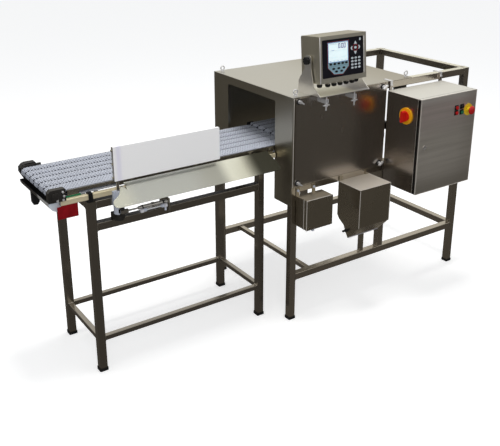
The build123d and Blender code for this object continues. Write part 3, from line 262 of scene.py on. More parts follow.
S["overlay"] = plastic("overlay_black", (0.007, 0.007, 0.012), 0.34, 0.12, 1200, 0.03, 14, spec=0.25)
S["soft"] = plastic("key_field_blue", (0.26, 0.42, 0.50), 0.42, 0.05, 1200, 0.03, 20, spec=0.3)
S["softline"] = plastic("key_field_line", (0.14, 0.22, 0.27), 0.42, 0.05, 1200, 0.03, 20, spec=0.3)
S["key"] = plastic("key_pale_blue", (0.66, 0.74, 0.78), 0.42, 0.05, 1200, 0.04, 20, spec=0.3)
S["keydark"] = plastic("key_dark", (0.010, 0.010, 0.012), 0.36, 0.08, 1200, 0.05, 20, spec=0.3)
S["ink"] = plastic("ink_dark", (0.02, 0.02, 0.03), 0.5, 0.1, 1200, 0.02, 20)
S["inkviolet"] = plastic("ink_violet", (0.20, 0.13, 0.42), 0.5, 0.1, 1200, 0.02, 20, spec=0.1)
S["inklight"] = plastic("ink_light", (0.78, 0.80, 0.82), 0.5, 0.04, 1200, 0.02, 20)
S["inkred"] = plastic("ink_red", (0.48, 0.05, 0.06), 0.45, 0.06, 1200, 0.02, 20, spec=0.2)
S["board"] = plastic("circuit_board", (0.02, 0.16, 0.06), 0.45, 0.1, 600, 0.1, 20)
S["terminal"] = plastic("terminal_grey", (0.35, 0.37, 0.36), 0.5, 0.06, 700, 0.08, 15)
S["seal"] = plastic("foam_seal", (0.03, 0.03, 0.032), 0.8, 0.2, 400, 0.4, 30)


def paddle_material():
    m = Mat("paddle_sheet_painted_shade_and_glow")
    a = m.noise(m.coord(), 2.2, 4.0, 0.6)
    d = m.noise(m.coord((1, 1, 6)), 9.0, 5.0, 0.65)
    col = m.mix(m.remap(a, 0.0, 1.0), (0.965, 0.965, 0.975), (0.975, 0.972, 0.98))
    col = m.mix(m.remap(d, 0.0, 0.4, 0.56, 0.75), col, (0.92, 0.92, 0.945))
    # painted shade: a darker lilac band across the sheet from x 128 to x 178
    painted_shade_band = m.math("MULTIPLY", m.along("x", 128, 152), m.math("SUBTRACT", 1.0, m.along("x", 152, 178)))
    col = m.mix(m.math("MULTIPLY", painted_shade_band, 0.55), col, (0.72, 0.70, 0.88))
    m.link(col, m.b.inputs["Base Color"])
    m.link(m.remap(a, 0.40, 0.50), m.b.inputs["Roughness"])
    # painted glow: the sheet emits a little light in its own colour
    m.link(col, m.b.inputs["Emission Color"])
    m.put("Emission Strength", 0.08)
    m.put("Specular IOR Level", 0.35)
    m.bump(m.noise(m.coord(), 260, 2.0, 0.5), 0.05, 0.0003)
    return m.m


S["paddle"] = paddle_material()


def chute_material():
    m = Mat("steel_chute_painted_reflections")
    lines = m.noise(m.coord((4, 900, 900)), 1.0, 2.0, 0.5)
    smudge = m.noise(m.coord(), 3.0, 3.0, 0.5)
    # painted reflections: the base colour runs in bands along x, pale, mid, darker, bright, then near black
    col = m.mix(m.along("x", 130, 240), (0.60, 0.60, 0.52), (0.47, 0.48, 0.45))
    col = m.mix(m.along("x", 470, 640), col, (0.40, 0.40, 0.355))
    col = m.mix(m.along("x", 650, 735), col, (0.80, 0.80, 0.69))
    col = m.mix(m.along("x", 790, 900), col, (0.07, 0.07, 0.055))
    col = m.mix(m.remap(lines, 0.0, 0.06), col, (0.30, 0.29, 0.25))
    m.link(col, m.b.inputs["Base Color"])
    m.put("Metallic", 0.80)
    m.link(m.remap(smudge, 0.17, 0.25), m.b.inputs["Roughness"])
    m.bump(lines, 0.02, 0.00004)
    return m.m


S["chute"] = chute_material()


def door_material():
    m = Mat("steel_control_door_painted_reflections")
    lines = m.noise(m.coord((5, 700, 700)), 1.0, 2.0, 0.5)
    wide = m.noise(m.coord((1.5, 40, 40)), 1.0, 2.0, 0.5)
    smudge = m.noise(m.coord(), 2.4, 3.0, 0.5)
    # painted reflections: the base colour is dark low down, lighter from z 690 to 830, pinkish from z 960 to 1120,
    # brightest at the top, and a little darker towards the right past x 1960
    col = m.mix(m.along("z", 690, 830), (0.48, 0.45, 0.405), (0.84, 0.80, 0.745))
    col = m.mix(m.along("z", 960, 1120), col, (0.84, 0.745, 0.73))
    col = m.mix(m.along("z", 1150, 1204), col, (0.92, 0.89, 0.87))
    col = m.mix(m.math("MULTIPLY", m.along("x", 1960, 2100), 0.35), col, (0.42, 0.38, 0.33))
    col = m.mix(m.remap(wide, 0.0, 0.35), col, (0.46, 0.43, 0.38))
    col = m.mix(m.remap(lines, 0.0, 0.12), col, (0.30, 0.28, 0.25))
    m.link(col, m.b.inputs["Base Color"])
    m.put("Metallic", 0.82)
    m.link(m.remap(smudge, 0.28, 0.42), m.b.inputs["Roughness"])
    m.bump(lines, 0.03, 0.00006)
    return m.m


S["door"] = door_material()


def lcd_material():
    m = Mat("display_glass")
    a = m.noise(m.coord(), 30.0, 2.0, 0.5)
    col = m.mix(m.remap(a, 0.0, 1.0), (0.66, 0.80, 0.84), (0.74, 0.86, 0.88))
    m.link(col, m.b.inputs["Base Color"])
    m.link(col, m.b.inputs["Emission Color"])
    m.put("Emission Strength", 0.55)
    m.link(m.remap(a, 0.12, 0.18), m.b.inputs["Roughness"])
    m.put("Coat Weight", 0.5)
    return m.m


S["lcd"] = lcd_material()
S["lcdblue"] = plastic("display_edge_blue", (0.22, 0.40, 0.72), 0.30, 0.05, 1200, 0.02, 20, spec=0.3)
S["lcdpale"] = plastic("display_edge_pale", (0.50, 0.68, 0.86), 0.30, 0.05, 1200, 0.02, 20, spec=0.3)


# ============================ mesh helpers ===============================
class Shape:
    """collects closed solids in layout millimetres, with a material for each"""

    def __init__(self):
        self.bm = bmesh.new()
        self.mats = []
        self.cur = 0

    def mat(self, key):
        if key not in self.mats:
            self.mats.append(key)
        self.cur = self.mats.index(key)
        return self

    def _faces(self, faces, smooth):
        for f in faces:
            f.material_index = self.cur
            f.smooth = smooth

    def poly(self, pts, off, smooth=False, place=None):
        """prism: pts is a closed list of 3-D points, off the extrusion vector"""
        bm = self.bm
        a = [bm.verts.new(p) for p in pts]
        b = [bm.verts.new(Vector(p) + Vector(off)) for p in pts]
        n = len(pts)
        fs = [bm.faces.new(a[::-1]), bm.faces.new(b)]
        for i in range(n):
            fs.append(bm.faces.new((a[i], a[(i + 1) % n], b[(i + 1) % n], b[i])))
        self._faces(fs, smooth)
        return fs

    def box(self, x0, x1, y0, y1, z0, z1, bevel=0.0, seg=2):
        bm = self.bm
        tmp = bmesh.new()
        bmesh.ops.create_cube(tmp, size=1.0)
        for v in tmp.verts:
            v.co = Vector(((x0 + x1) / 2 + v.co.x * (x1 - x0), (y0 + y1) / 2 + v.co.y * (y1 - y0), (z0 + z1) / 2 + v.co.z * (z1 - z0)))
        if bevel:
            bmesh.ops.bevel(tmp, geom=tmp.edges[:], offset=bevel, segments=seg, profile=0.5, affect="EDGES", clamp_overlap=True)
        self.add(tmp, bool(bevel))

    def add(self, other, smooth):
        """take a bmesh in, with the current material"""
        bm = self.bm
        vm = {v: bm.verts.new(v.co) for v in other.verts}
        fs = []
        for f in other.faces:
            try:
                fs.append(bm.faces.new([vm[v] for v in f.verts]))
            except ValueError:
                pass
        self._faces(fs, smooth)
        other.free()

    def lathe(self, axis, centre, prof, seg=28, smooth=True, caps=True):
        """profile [(along, radius)] turned about an axis through centre"""
        bm = self.bm
        rings = []
        for a, r in prof:
            ring = []
            for k in range(seg):
                t = 2 * pi * k / seg
                u, v = r * cos(t), r * sin(t)
                if axis == "x":
                    q = (a, centre[1] + u, centre[2] + v)
                elif axis == "y":
                    q = (centre[0] + v, a, centre[2] + u)
                else:
                    q = (centre[0] + u, centre[1] + v, a)
                ring.append(bm.verts.new(q))
            rings.append(ring)
        fs = []
        for r0, r1 in zip(rings, rings[1:]):
            for k in range(seg):
                fs.append(bm.faces.new((r0[k], r0[(k + 1) % seg], r1[(k + 1) % seg], r1[k])))
        self._faces(fs, smooth)
        if caps:
            caps = [bm.faces.new(rings[0][::-1]), bm.faces.new(rings[-1])]
            self._faces(caps, False)

    def sweep(self, pts, r, seg=8, closed=False, ripple=0.0, squash=1.0, smooth=True):
        """round bar along points; ripple varies its radius"""
        bm = self.bm
        n = len(pts)
        pts = [Vector(p) for p in pts]
        rings = []
        up = Vector((0.03, 0.05, 1.0)).normalized()
        for i, p in enumerate(pts):
            q0 = pts[i - 1] if (closed or i > 0) else p
            q1 = pts[(i + 1) % n] if (closed or i < n - 1) else p
            d = (q1 - q0)
            d = d.normalized() if d.length > 1e-9 else Vector((1, 0, 0))
            u0 = up if abs(d.dot(up)) < 0.9 else Vector((1.0, 0.1, 0.0)).normalized()
            s = d.cross(u0).normalized()
            t = s.cross(d).normalized()
            rr = r * (1 + ripple * (sin(i * 2.1) * 0.6 + sin(i * 5.3 + 1.0) * 0.4))
            rings.append([bm.verts.new(p + (s * cos(2 * pi * k / seg) + t * squash * sin(2 * pi * k / seg)) * rr) for k in range(seg)])
        fs = []
        last = n if closed else n - 1
        for i in range(last):
            r0, r1 = rings[i], rings[(i + 1) % n]
            for k in range(seg):
                fs.append(bm.faces.new((r0[k], r0[(k + 1) % seg], r1[(k + 1) % seg], r1[k])))
        if not closed:
            fs.append(bm.faces.new(rings[0][::-1]))
            fs.append(bm.faces.new(rings[-1]))
        self._faces(fs, smooth)

    def make(self, name, body, replaces=(), slot=None, xform=None, sharp=35.0):
        bm = self.bm
        if xform is not None:
            for v in bm.verts:
                v.co = xform(v.co)
        for v in bm.verts:
            v.co = P(*v.co)
        bmesh.ops.recalc_face_normals(bm, faces=bm.faces[:])
        me = bpy.data.meshes.new(name)
        bm.to_mesh(me)
        bm.free()
        for k in self.mats:
            me.materials.append(S[k])
        me.set_sharp_from_angle(angle=radians(sharp))
        ob = bpy.data.objects.new(name, me)
        bpy.context.scene.collection.objects.link(ob)
        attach(ob, body)
        if replaces:
            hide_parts(*replaces)
        return ob


def islands(ob):
    """face groups of a node that share points, with their boxes in layout mm"""
    me = ob.data
    parent = {}

    def find(a):
        while parent[a] != a:
            parent[a] = parent[parent[a]]
            a = parent[a]
        return a

    key = [tuple(round(c * 1e5) for c in v.co) for v in me.vertices]
    for k in key:
        parent.setdefault(k, k)
    for f in me.polygons:
        r = find(key[f.vertices[0]])
        for i in f.vertices[1:]:
            s = find(key[i])
            if s != r:
                parent[s] = r
    groups = {}
    for f in me.polygons:
        groups.setdefault(find(key[f.vertices[0]]), []).append(f.index)
    out = []
    for faces in groups.values():
        lo, hi = [1e9] * 3, [-1e9] * 3
        for i in faces:
            for j in me.polygons[i].vertices:
                c = me.vertices[j].co
                q = (c.x * 1000 + OX, c.y * 1000 + OY, c.z * 1000)
                for a in range(3):
                    lo[a] = min(lo[a], q[a])
                    hi[a] = max(hi[a], q[a])
        out.append((faces, lo, hi))
    return out


def paint(node, default, *rules, faces=()):
    """materials on a node: default, or by a rule (key, test(lo, hi)) for each island,
    then by (key, test(centre, normal)) for single faces, in layout mm"""
    ob = NODES[node]
    me = ob.data
    me.materials.clear()
    keys = []

    def idx(k):
        if k not in keys:
            keys.append(k)
            me.materials.append(S[k])
        return keys.index(k)

    for group, lo, hi in islands(ob):
        k = default
        if callable(default):
            k = default(lo, hi)
        for key, test in rules:
            if test(lo, hi):
                k = key
                break
        i = idx(k)
        for f in group:
            me.polygons[f].material_index = i
    if faces:
        ids = [(idx(k), test) for k, test in faces]
        for f in me.polygons:
            c = (f.center.x * 1000 + OX, f.center.y * 1000 + OY, f.center.z * 1000)
            for i, test in ids:
                if test(c, f.normal):
                    f.material_index = i
                    break


def long_axis(lo, hi, pre="tube_"):
    d = [hi[i] - lo[i] for i in range(3)]
    return pre + "xyz"[d.index(max(d))]


def inside(x0=-1e9, x1=1e9, y0=-1e9, y1=1e9, z0=-1e9, z1=1e9):
    def test(lo, hi):
        c = [(a + b) / 2 for a, b in zip(lo, hi)]
        return x0 <= c[0] <= x1 and y0 <= c[1] <= y1 and z0 <= c[2] <= z1
    return test


def smaller(size):
    return lambda lo, hi: max(h - l for l, h in zip(lo, hi)) < size


# ===================== materials on the kept nodes =======================
tubes = lambda lo, hi: long_axis(lo, hi)
ftubes = lambda lo, hi: long_axis(lo, hi, "frame_")
paint("stand_legs", "tube_z")
paint("stand_rails", tubes)
# top faces above z 1249 get the painted-light rail top
paint("frame_legs", "frame_z", faces=[("rail_top_painted_light", lambda c, n: n.z > 0.9 and c[2] > 1249)])
paint("frame_rails", ftubes, faces=[("rail_top_painted_light", lambda c, n: n.z > 0.9 and c[2] > 1249)])
# near and upper faces of the front conveyor rail get the painted reflection
paint("conveyor_rails", "tube_x", faces=[("rail_painted_glow", lambda c, n: c[1] < 30 and c[0] > -101 and (n.y < -0.3 or n.z > 0.3)), ("rail_painted_glow", lambda c, n: c[1] < 30 and -122 < c[0] < -99 and n.y < -0.3)])
paint("rail_clamps", "blackgloss", ("nickel", smaller(14)))
paint("conveyor_side_plates", "sheet_x")
paint("conveyor_bed", "sheet_x", ("shaft", lambda lo, hi: hi[2] < 931 and hi[1] - lo[1] > 300), ("bolt", smaller(14)))
paint("wear_strips", "white", ("green", lambda lo, hi: hi[2] < 940))
paint("drive_bearing_blocks", "darkblock", ("nickel", smaller(14)))
paint("outfeed_drive_shaft", "shaft", ("bluewhite", lambda lo, hi: hi[1] - lo[1] < 16 and hi[0] - lo[0] > 23 and lo[1] < 420), ("alu", lambda lo, hi: lo[1] > 430))
paint("outfeed_idler", "shaft")
paint("shaft_bearings", "black")
paint("nose_guard", "guard", faces=[("endplate", lambda c, n: abs(n.y) > 0.9 and c[1] < 200), ("endplate", lambda c, n: c[1] < 27.9)])
paint("drive_guard", "black")
paint("gearmotor", "motor")
paint("motor_pulley", "alu")
paint("red_tag", "tag")
paint("paddle_panel", "paddle")
paint("paddle_shaft", "shaft", ("black", smaller(16)), ("sheet_z", lambda lo, hi: lo[2] > 960))
paint("paddle_lever", "darkblock", faces=[("bluewhite", lambda c, n: math.hypot(c[0] - 143, c[1] + 13.65) > 24 and math.hypot(c[0] - 143, c[1] + 13.65) < 25.6)])
paint("paddle_bearings", "bluewhite", ("darkblock", lambda lo, hi: hi[2] < 820))
paint("cylinder_rod", "shaft", ("bluewhite", lambda lo, hi: hi[0] < 180))
# inside and underside faces below get the painted-shade steel
paint("chute", "chute", faces=[("inner", lambda c, n: n.y > 0.3 and c[2] > 870)])
paint("cabinet_panels", "endpanel", ("inner", lambda lo, hi: lo[1] > 600), faces=[("inner", lambda c, n: c[0] < 1052 and n.x > 0.5), ("inner", lambda c, n: c[0] > 1800 and n.x < -0.5)])
paint("top_cover", "topcover", faces=[("inner", lambda c, n: n.z < -0.5)])
paint("front_panel", "panel", ("bolt", smaller(22)), faces=[("inner", lambda c, n: n.y > 0.5)])
for k in ("tl", "tr", "bl", "br"):
    paint("panel_latch_" + k, "nickel")
paint("lifting_eyes", "nickel")
paint("weigh_carrier", ftubes)
paint("load_cells", "alu")
paint("weigh_side_plates", "sheet_x")
paint("weigh_drive_shaft", "shaft", ("bluewhite", lambda lo, hi: hi[1] - lo[1] < 16))
paint("weigh_idler", "shaft")
# the junction box's top faces get the painted-light junction top
paint("junction_box", "hood", ("board", inside(y0=-141.5, y1=-139.5)), ("terminal", lambda lo, hi: hi[2] < 620 and lo[2] > 598), ("bolt", smaller(16)),
      faces=[("bluewhite", lambda c, n: c[2] < 560.6 or (c[2] < 570 and math.hypot(c[0] - 1158, c[1] + 178) < 11)), ("bluewhite", lambda c, n: 746 < c[2] < 764 and c[1] < -137.2), ("junction_top_painted_light", lambda c, n: n.z > 0.9 and c[2] > 727 and c[1] < -137.5)])
paint("junction_lid", "hood", ("bolt", smaller(12)), faces=[("junction_top_painted_light", lambda c, n: n.z > 0.9 and c[2] > 727.5)])
# the hood's top faces get the painted-light hood top
paint("hood", "hood", ("terminal", inside(x0=1399, x1=1546, z0=590, z1=745, y0=-216, y1=-134)), ("black", lambda lo, hi: hi[0] < 1368 and hi[2] < 500), faces=[("hood_top_painted_light", lambda c, n: n.z > 0.9 and 747.5 < c[2] < 749)])
# the box's top faces get the painted-light box top
paint("control_box", "box", ("yellow", lambda lo, hi: hi[0] < 1683 and hi[0] - lo[0] < 8), ("bolt", smaller(16)), ("shaft", lambda lo, hi: lo[0] > 2100), faces=[("box_top_painted_light", lambda c, n: n.z > 0.9 and 1203 < c[2] < 1205 and c[1] < -133), ("nickel", lambda c, n: c[2] > 1212), ("nickel", lambda c, n: c[1] > -133.5 and c[2] > 1100)])
paint("control_backplate", "plate", ("terminal", lambda lo, hi: lo[1] < -160))
paint("disconnect_handle", "redhandle")
# the door's left side faces get the painted-light door side
# the door's top faces get the painted-light box top
paint("control_door", "door", ("seal", lambda lo, hi: lo[0] > 1689), faces=[("box_top_painted_light", lambda c, n: n.z > 0.9 and c[2] > 1203), ("door_side_painted_light", lambda c, n: n.x < -0.7 and c[0] < 1683)])
paint("button_bezels", "blackgloss", ("yellowe", inside(x0=2040, x1=2052)))
paint("button_red_upper", "red")
paint("button_red_lower", "red")
paint("button_black", "btnblack")
paint("button_green", "btngreen")
paint("estop_head", "red", ("bolt", lambda lo, hi: hi[0] - lo[0] < 13))
paint("door_lock", "bolt")
paint("indicator_case", "indcase", ("black", lambda lo, hi: hi[2] < 1325 and hi[0] - lo[0] < 32), ("board", lambda lo, hi: lo[0] > 1190 and hi[0] < 1450 and lo[1] > -170 and hi[0] - lo[0] > 200), faces=[("indfront", lambda c, n: n.y < -0.9 and c[1] < -160)])
# the base plate's top face gets the painted-light copy
paint("indicator_bracket", "bracket", ("brass", lambda lo, hi: hi[0] - lo[0] < 17 and lo[2] < 1205), ("black", lambda lo, hi: hi[0] - lo[0] < 20 and hi[2] < 1240), ("nickel", lambda lo, hi: hi[2] < 1256 and hi[1] < -130), faces=[("base_plate_top_painted_light", lambda c, n: n.z > 0.9 and 1254 < c[2] < 1256)])
paint("tilt_knob_left", "black")
paint("tilt_knob_right", "black")
paint("rubber_feet", "rubber")
paint("outfeed_belt", "belt")
paint("weigh_belt", "belt")
paint("indicator_keypad", "overlay", ("lcd", inside(x0=1290, x1=1294)))
paint("air_cylinder", "blackgloss", ("sheet_x", lambda lo, hi: hi[0] - lo[0] > 40 and hi[1] > 0), ("darkblock", lambda lo, hi: lo[0] > 368))
for n, ob in NODES.items():
    if not ob.data.materials or ob.data.materials[0] is None:
        ob.data.materials.clear()
        ob.data.materials.append(S["sheet_z"])


# ============================== belts ====================================
def belt(name, body, node, xl, xr, y0, y1, lift, ramp, rows, cols, bands):
    """modular belt: rigid rows of interleaved fingers hinged on pins"""
    rm, ax = 17.5, 946.0
    path = [(xl, ax + rm), (xr, ax + rm)]
    for k in range(1, 24):
        t = pi / 2 - pi * k / 24
        path.append((xr + rm * cos(t), ax + rm * sin(t)))
    path += [(xr, ax - rm), (xr - ramp, ax - rm + lift), (xl + ramp, ax - rm + lift), (xl, ax - rm)]
    for k in range(1, 24):
        t = -pi / 2 - pi * k / 24
        path.append((xl + rm * cos(t), ax + rm * sin(t)))
    path.append(path[0])
    acc = [0.0]
    for a, b in zip(path, path[1:]):
        acc.append(acc[-1] + math.dist(a, b))
    total = acc[-1]

    def at(s):
        s %= total
        for i in range(len(acc) - 1):
            if acc[i + 1] >= s:
                f = (s - acc[i]) / max(1e-9, acc[i + 1] - acc[i])
                return (path[i][0] + f * (path[i + 1][0] - path[i][0]), path[i][1] + f * (path[i + 1][1] - path[i][1]))
        return path[0]

    hinge = [at(k * total / rows) for k in range(rows)]
    verts, faces, mats = [], [], []
    cw = (y1 - y0) / cols
    r = 4.3

    def prism_y(poly, ya, yb, place, m):
        i0 = len(verts)
        n = len(poly)
        for y in (ya, yb):
            for q in poly:
                X, Z = place(*q)
                verts.append(P(X, y, Z))
        faces.append([i0 + k for k in range(n)][::-1])
        faces.append([i0 + n + k for k in range(n)])
        mats.extend([m, m])
        for k in range(n):
            j = (k + 1) % n
            faces.append([i0 + k, i0 + j, i0 + n + j, i0 + n + k])
            mats.append(m)

    for k in range(rows):
        p0, p1 = hinge[k], hinge[(k + 1) % rows]
        p = math.dist(p0, p1)
        du = ((p1[0] - p0[0]) / p, (p1[1] - p0[1]) / p)
        nw = (-du[1], du[0])

        def place(u, w, p0=p0, du=du, nw=nw):
            return p0[0] + du[0] * u + nw[0] * w, p0[1] + du[1] * u + nw[1] * w

        b0, b1 = 4.9, p - 4.9
        # cross rib of the row, with eased top edges
        prism_y([(b0, -4.4), (b1, -4.4), (b1, 3.9), (b1 - 0.5, 4.5), (b0 + 0.5, 4.5), (b0, 3.9)], y0, y1, place, 0)
        # pin
        prism_y([(1.9 * cos(2 * pi * j / 6), 1.9 * sin(2 * pi * j / 6)) for j in range(6)], y0 + 1.5, y1 - 1.5, place, 1)
        for c in range(cols):
            ya, yb = y0 + c * cw + 0.12, y0 + (c + 1) * cw - 0.12
            if c in bands:
                # open column: a slim finger beside a dark block, painted shade that stands in for a deep window
                prism_y([(-5.2, -3.6), (5.2, -3.6), (5.2, 3.5), (-5.2, 3.5)], ya + 1.8, yb - 0.1, place, 2)
                yb = ya + 1.6
            elif c - 1 in bands:
                # a dark block of painted shade carries the window into the next column
                prism_y([(-5.2, -3.6), (5.2, -3.6), (5.2, 3.5), (-5.2, 3.5)], ya, ya + 3.6, place, 2)
                ya += 3.8
            elif c - 2 in bands:
                # a grey block of painted soft shade stands in for a smaller window, one side then the other
                if k % 2:
                    prism_y([(-4.0, -3.6), (4.0, -3.6), (4.0, 3.5), (-4.0, 3.5)], yb - 4.6, yb - 0.2, place, 3)
                    yb -= 4.8
                else:
                    prism_y([(-4.0, -3.6), (4.0, -3.6), (4.0, 3.5), (-4.0, 3.5)], ya + 0.2, ya + 4.6, place, 3)
                    ya += 4.8
            lead = c % 2 == 0
            arc = [(-r * sin(pi * j / 5), -r * cos(pi * j / 5)) for j in range(6)]
            if lead:
                poly = arc + [(b0 + 0.2, r), (b0 + 0.2, -r)]
            else:
                poly = [(p - q[0], q[1]) for q in arc][::-1] + [(b1 - 0.2, -r), (b1 - 0.2, r)]
            prism_y(poly, ya, yb, place, 0)
    me = bpy.data.meshes.new(name)
    me.from_pydata(verts, [], faces)
    me.materials.append(S["belt"])
    me.materials.append(S["beltpin"])
    me.materials.append(S["beltdark"])
    me.materials.append(S["beltgrey"])
    me.polygons.foreach_set("material_index", mats)
    bm = bmesh.new()
    bm.from_mesh(me)
    bmesh.ops.recalc_face_normals(bm, faces=bm.faces[:])
    bm.to_mesh(me)
    bm.free()
    ob = bpy.data.objects.new(name, me)
    bpy.context.scene.collection.objects.link(ob)
    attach(ob, body)
    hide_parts(node)
    return ob


belt("outfeed_belt_modules", "root", "outfeed_belt", -141.5, 1138.0, 28.4, 409.4, 7.0, 170.0, 176, 36, {7, 13, 19, 24, 30})
belt("weigh_belt_modules", "root", "weigh_belt", 1190.0, 1846.0, 28.4, 435.0, 0.0, 60.0, 93, 38, {6, 12, 18, 24, 30, 35})

# ============================ weld beads =================================
T = 38.1
W = Shape().mat("weld")


def bead_square(axis, a, b0, c0, t=T, r=2.3):
    """bead round a square tube whose end lies at a along an axis"""
    pts = []
    step = 3.0
    corners = [(b0, c0), (b0 + t, c0), (b0 + t, c0 + t), (b0, c0 + t)]
    for i in range(4):
        p, q = corners[i], corners[(i + 1) % 4]
        n = int(t / step)
        for k in range(n):
            f = k / n
            b, c = p[0] + f * (q[0] - p[0]), p[1] + f * (q[1] - p[1])
            pts.append({"x": (a, b, c), "y": (b, a, c), "z": (b, c, a)}[axis])
    W.sweep(pts, r, seg=6, closed=True, ripple=0.28)


SL, SD, SH = 970.0, 438.0, 892.0
TS = 25.4
IN = (T - TS) / 2
for y in (0, SD - T):
    for a in (T, SL - T):
        bead_square("x", a, y + IN, 154.0 + IN, TS, 2.8)
        bead_square("x", a, y, SH - T)
for x in (0, SL - T):
    for a in (T, SD - T):
        bead_square("y", a, x + IN, 154.0 + IN, TS, 2.8)
        bead_square("y", a, x, SH - T)
for a in (T, SL - T):
    bead_square("x", a, 0, 744.0)
FX0, FX1, FY0, FY1 = 1049.0, 2338.0, -133.0, 605.0
for y in (FY0, FY1 - T):
    for a in (FX0 + T, FX1 - T):
        bead_square("x", a, y, 234.0)
        bead_square("x", a, y, 1250 - T)
    bead_square("x", FX0 + T, y, 744.0)
    bead_square("x", 1684.0, y, 744.0)
    bead_square("z", 234.0 + T, 1684.0, y)
for a in (FY0 + T, FY1 - T):
    bead_square("y", a, 1184.0 + IN, 234.0 + IN, TS)
    bead_square("y", a, FX1 - T, 234.0)
for x in (FX0, FX1 - T):
    for a in (FY0 + T, FY1 - T):
        bead_square("y", a, x, 1250 - T)
for a in (FY0 + T, FY1 - T):
    bead_square("y", a, 1684.0, 744.0)
bead_square("z", 234.0 + T, 1555.0, -126.0, 24.0, 1.8)
W.make("tube_weld_beads", "root", slot="stainless")

# ========================== indicator face ===============================
IX0, UF, UZ0, PY, PZ = 1170.0, -178.6, 1306.9, -100.0, 1420.0
TILT = radians(-4.9)


def tilt(q):
    y, z = q[1] - PY, q[2] - PZ
    return Vector((q[0], PY + y * cos(TILT) - z * sin(TILT), PZ + y * sin(TILT) + z * cos(TILT)))


def face_pt(u, v, w):
    return (IX0 + u - 8.5, UF - w, UZ0 + v)


def rounded(u0, u1, v0, v1, r, n=4):
    pts = []
    for cu, cv, a0 in ((u1 - r, v0 + r, -pi / 2), (u1 - r, v1 - r, 0), (u0 + r, v1 - r, pi / 2), (u0 + r, v0 + r, pi)):
        for k in range(n + 1):
            a = a0 + (pi / 2) * k / n
            pts.append((cu + r * cos(a), cv + r * sin(a)))
    return pts


def plate(sh, pts, w0, w1):
    sh.poly([face_pt(u, v, w0) for u, v in pts], (0, -(w1 - w0), 0))


def ring_plate(sh, outer, inner, w0, w1):
    """flat plate with an opening; outer and inner have as many points"""
    bm = sh.bm
    n = len(outer)
    lay = []
    for w in (w0, w1):
        lay.append([[bm.verts.new(face_pt(u, v, w)) for u, v in loop] for loop in (outer, inner)])
    fs = []
    for k in range(n):
        j = (k + 1) % n
        fs.append(bm.faces.new((lay[1][0][k], lay[1][0][j], lay[1][1][j], lay[1][1][k])))
        fs.append(bm.faces.new((lay[0][0][k], lay[0][1][k], lay[0][1][j], lay[0][0][j])))
        fs.append(bm.faces.new((lay[0][0][k], lay[0][0][j], lay[1][0][j], lay[1][0][k])))
        fs.append(bm.faces.new((lay[0][1][k], lay[1][1][k], lay[1][1][j], lay[0][1][j])))
    sh._faces(fs, False)


def circle(u, v, ru, rv=None, n=28):
    rv = rv or ru
    return [(u + ru * cos(2 * pi * k / n), v + rv * sin(2 * pi * k / n)) for k in range(n)]


F = Shape().mat("overlay")
ring_plate(F, rounded(25.5, 292.5, 25, 214, 6), rounded(61, 193.5, 98, 199, 2), 0.0, 1.2)
F.make("keypad_overlay", "indicator", replaces=("indicator_keypad",), slot="keypad", xform=tilt)
F = Shape().mat("lcdblue")
ring_plate(F, rounded(60.6, 193.9, 97.6, 199.4, 2), rounded(63.4, 191.3, 100.0, 196.6, 2), 0.0, 0.75)
F.mat("lcdpale")
ring_plate(F, rounded(63.4, 191.3, 100.0, 196.6, 2), rounded(66.2, 188.8, 102.4, 193.6, 2), 0.0, 0.70)
F.mat("lcd")
plate(F, rounded(66.0, 189.0, 102.2, 193.8, 2), -1.5, 0.6)
F.make("display_window", "indicator", slot="keypad", xform=tilt)

SEG = {"0": "abcdef", "1": "bc", "2": "abged", "3": "abgcd", "4": "fgbc", "5": "afgcd", "6": "afgedc", "7": "abc", "8": "abcdefg", "9": "abfgcd"}


def seven(sh, ch, u, v, h, w0, w1, t=None):
    """a digit from seven bars"""
    t = t or h * 0.13
    w = h * 0.52
    bars = {"a": (u, u + w, v + h - t, v + h), "g": (u, u + w, v + h / 2 - t / 2, v + h / 2 + t / 2), "d": (u, u + w, v, v + t),
            "f": (u, u + t, v + h / 2, v + h), "b": (u + w - t, u + w, v + h / 2, v + h),
            "e": (u, u + t, v, v + h / 2), "c": (u + w - t, u + w, v, v + h / 2)}
    for s in SEG[ch]:
        a, b, c, d = bars[s]
        plate(sh, [(a, c), (b, c), (b, d), (a, d)], w0, w1)


D = Shape().mat("inkviolet")
for i, ch in enumerate("000"):
    seven(D, ch, (128.5, 148.0, 163.5)[i], 166.0, 24, 0.6, 0.9, 3.4)
plate(D, [(143.6, 168.5), (146.2, 168.5), (146.2, 171.1), (143.6, 171.1)], 0.6, 0.9)
D.mat("lcdpale")
for u0, u1 in ((70, 80), (83, 88), (91, 104), (107, 118)):
    plate(D, [(u0, 188.2), (u1, 188.2), (u1, 190.2), (u0, 190.2)], 0.6, 0.75)
plate(D, [(69, 154.6), (186, 154.6), (186, 155.5), (69, 155.5)], 0.6, 0.75)
plate(D, [(69, 123.0), (186, 123.0), (186, 123.7), (69, 123.7)], 0.6, 0.75)
D.mat("inkviolet")
for k in range(4):
    plate(D, [(84 + 5 * k, 158.2), (87.4 + 5 * k, 158.2), (87.4 + 5 * k, 160.4), (84 + 5 * k, 160.4)], 0.6, 0.8)
for k in range(5):
    plate(D, [(72 + 24 * k, 105.6), (84 + 24 * k, 105.6), (84 + 24 * k, 107.2), (72 + 24 * k, 107.2)], 0.6, 0.8)
D.make("display_digits", "indicator", slot="keypad", xform=tilt)

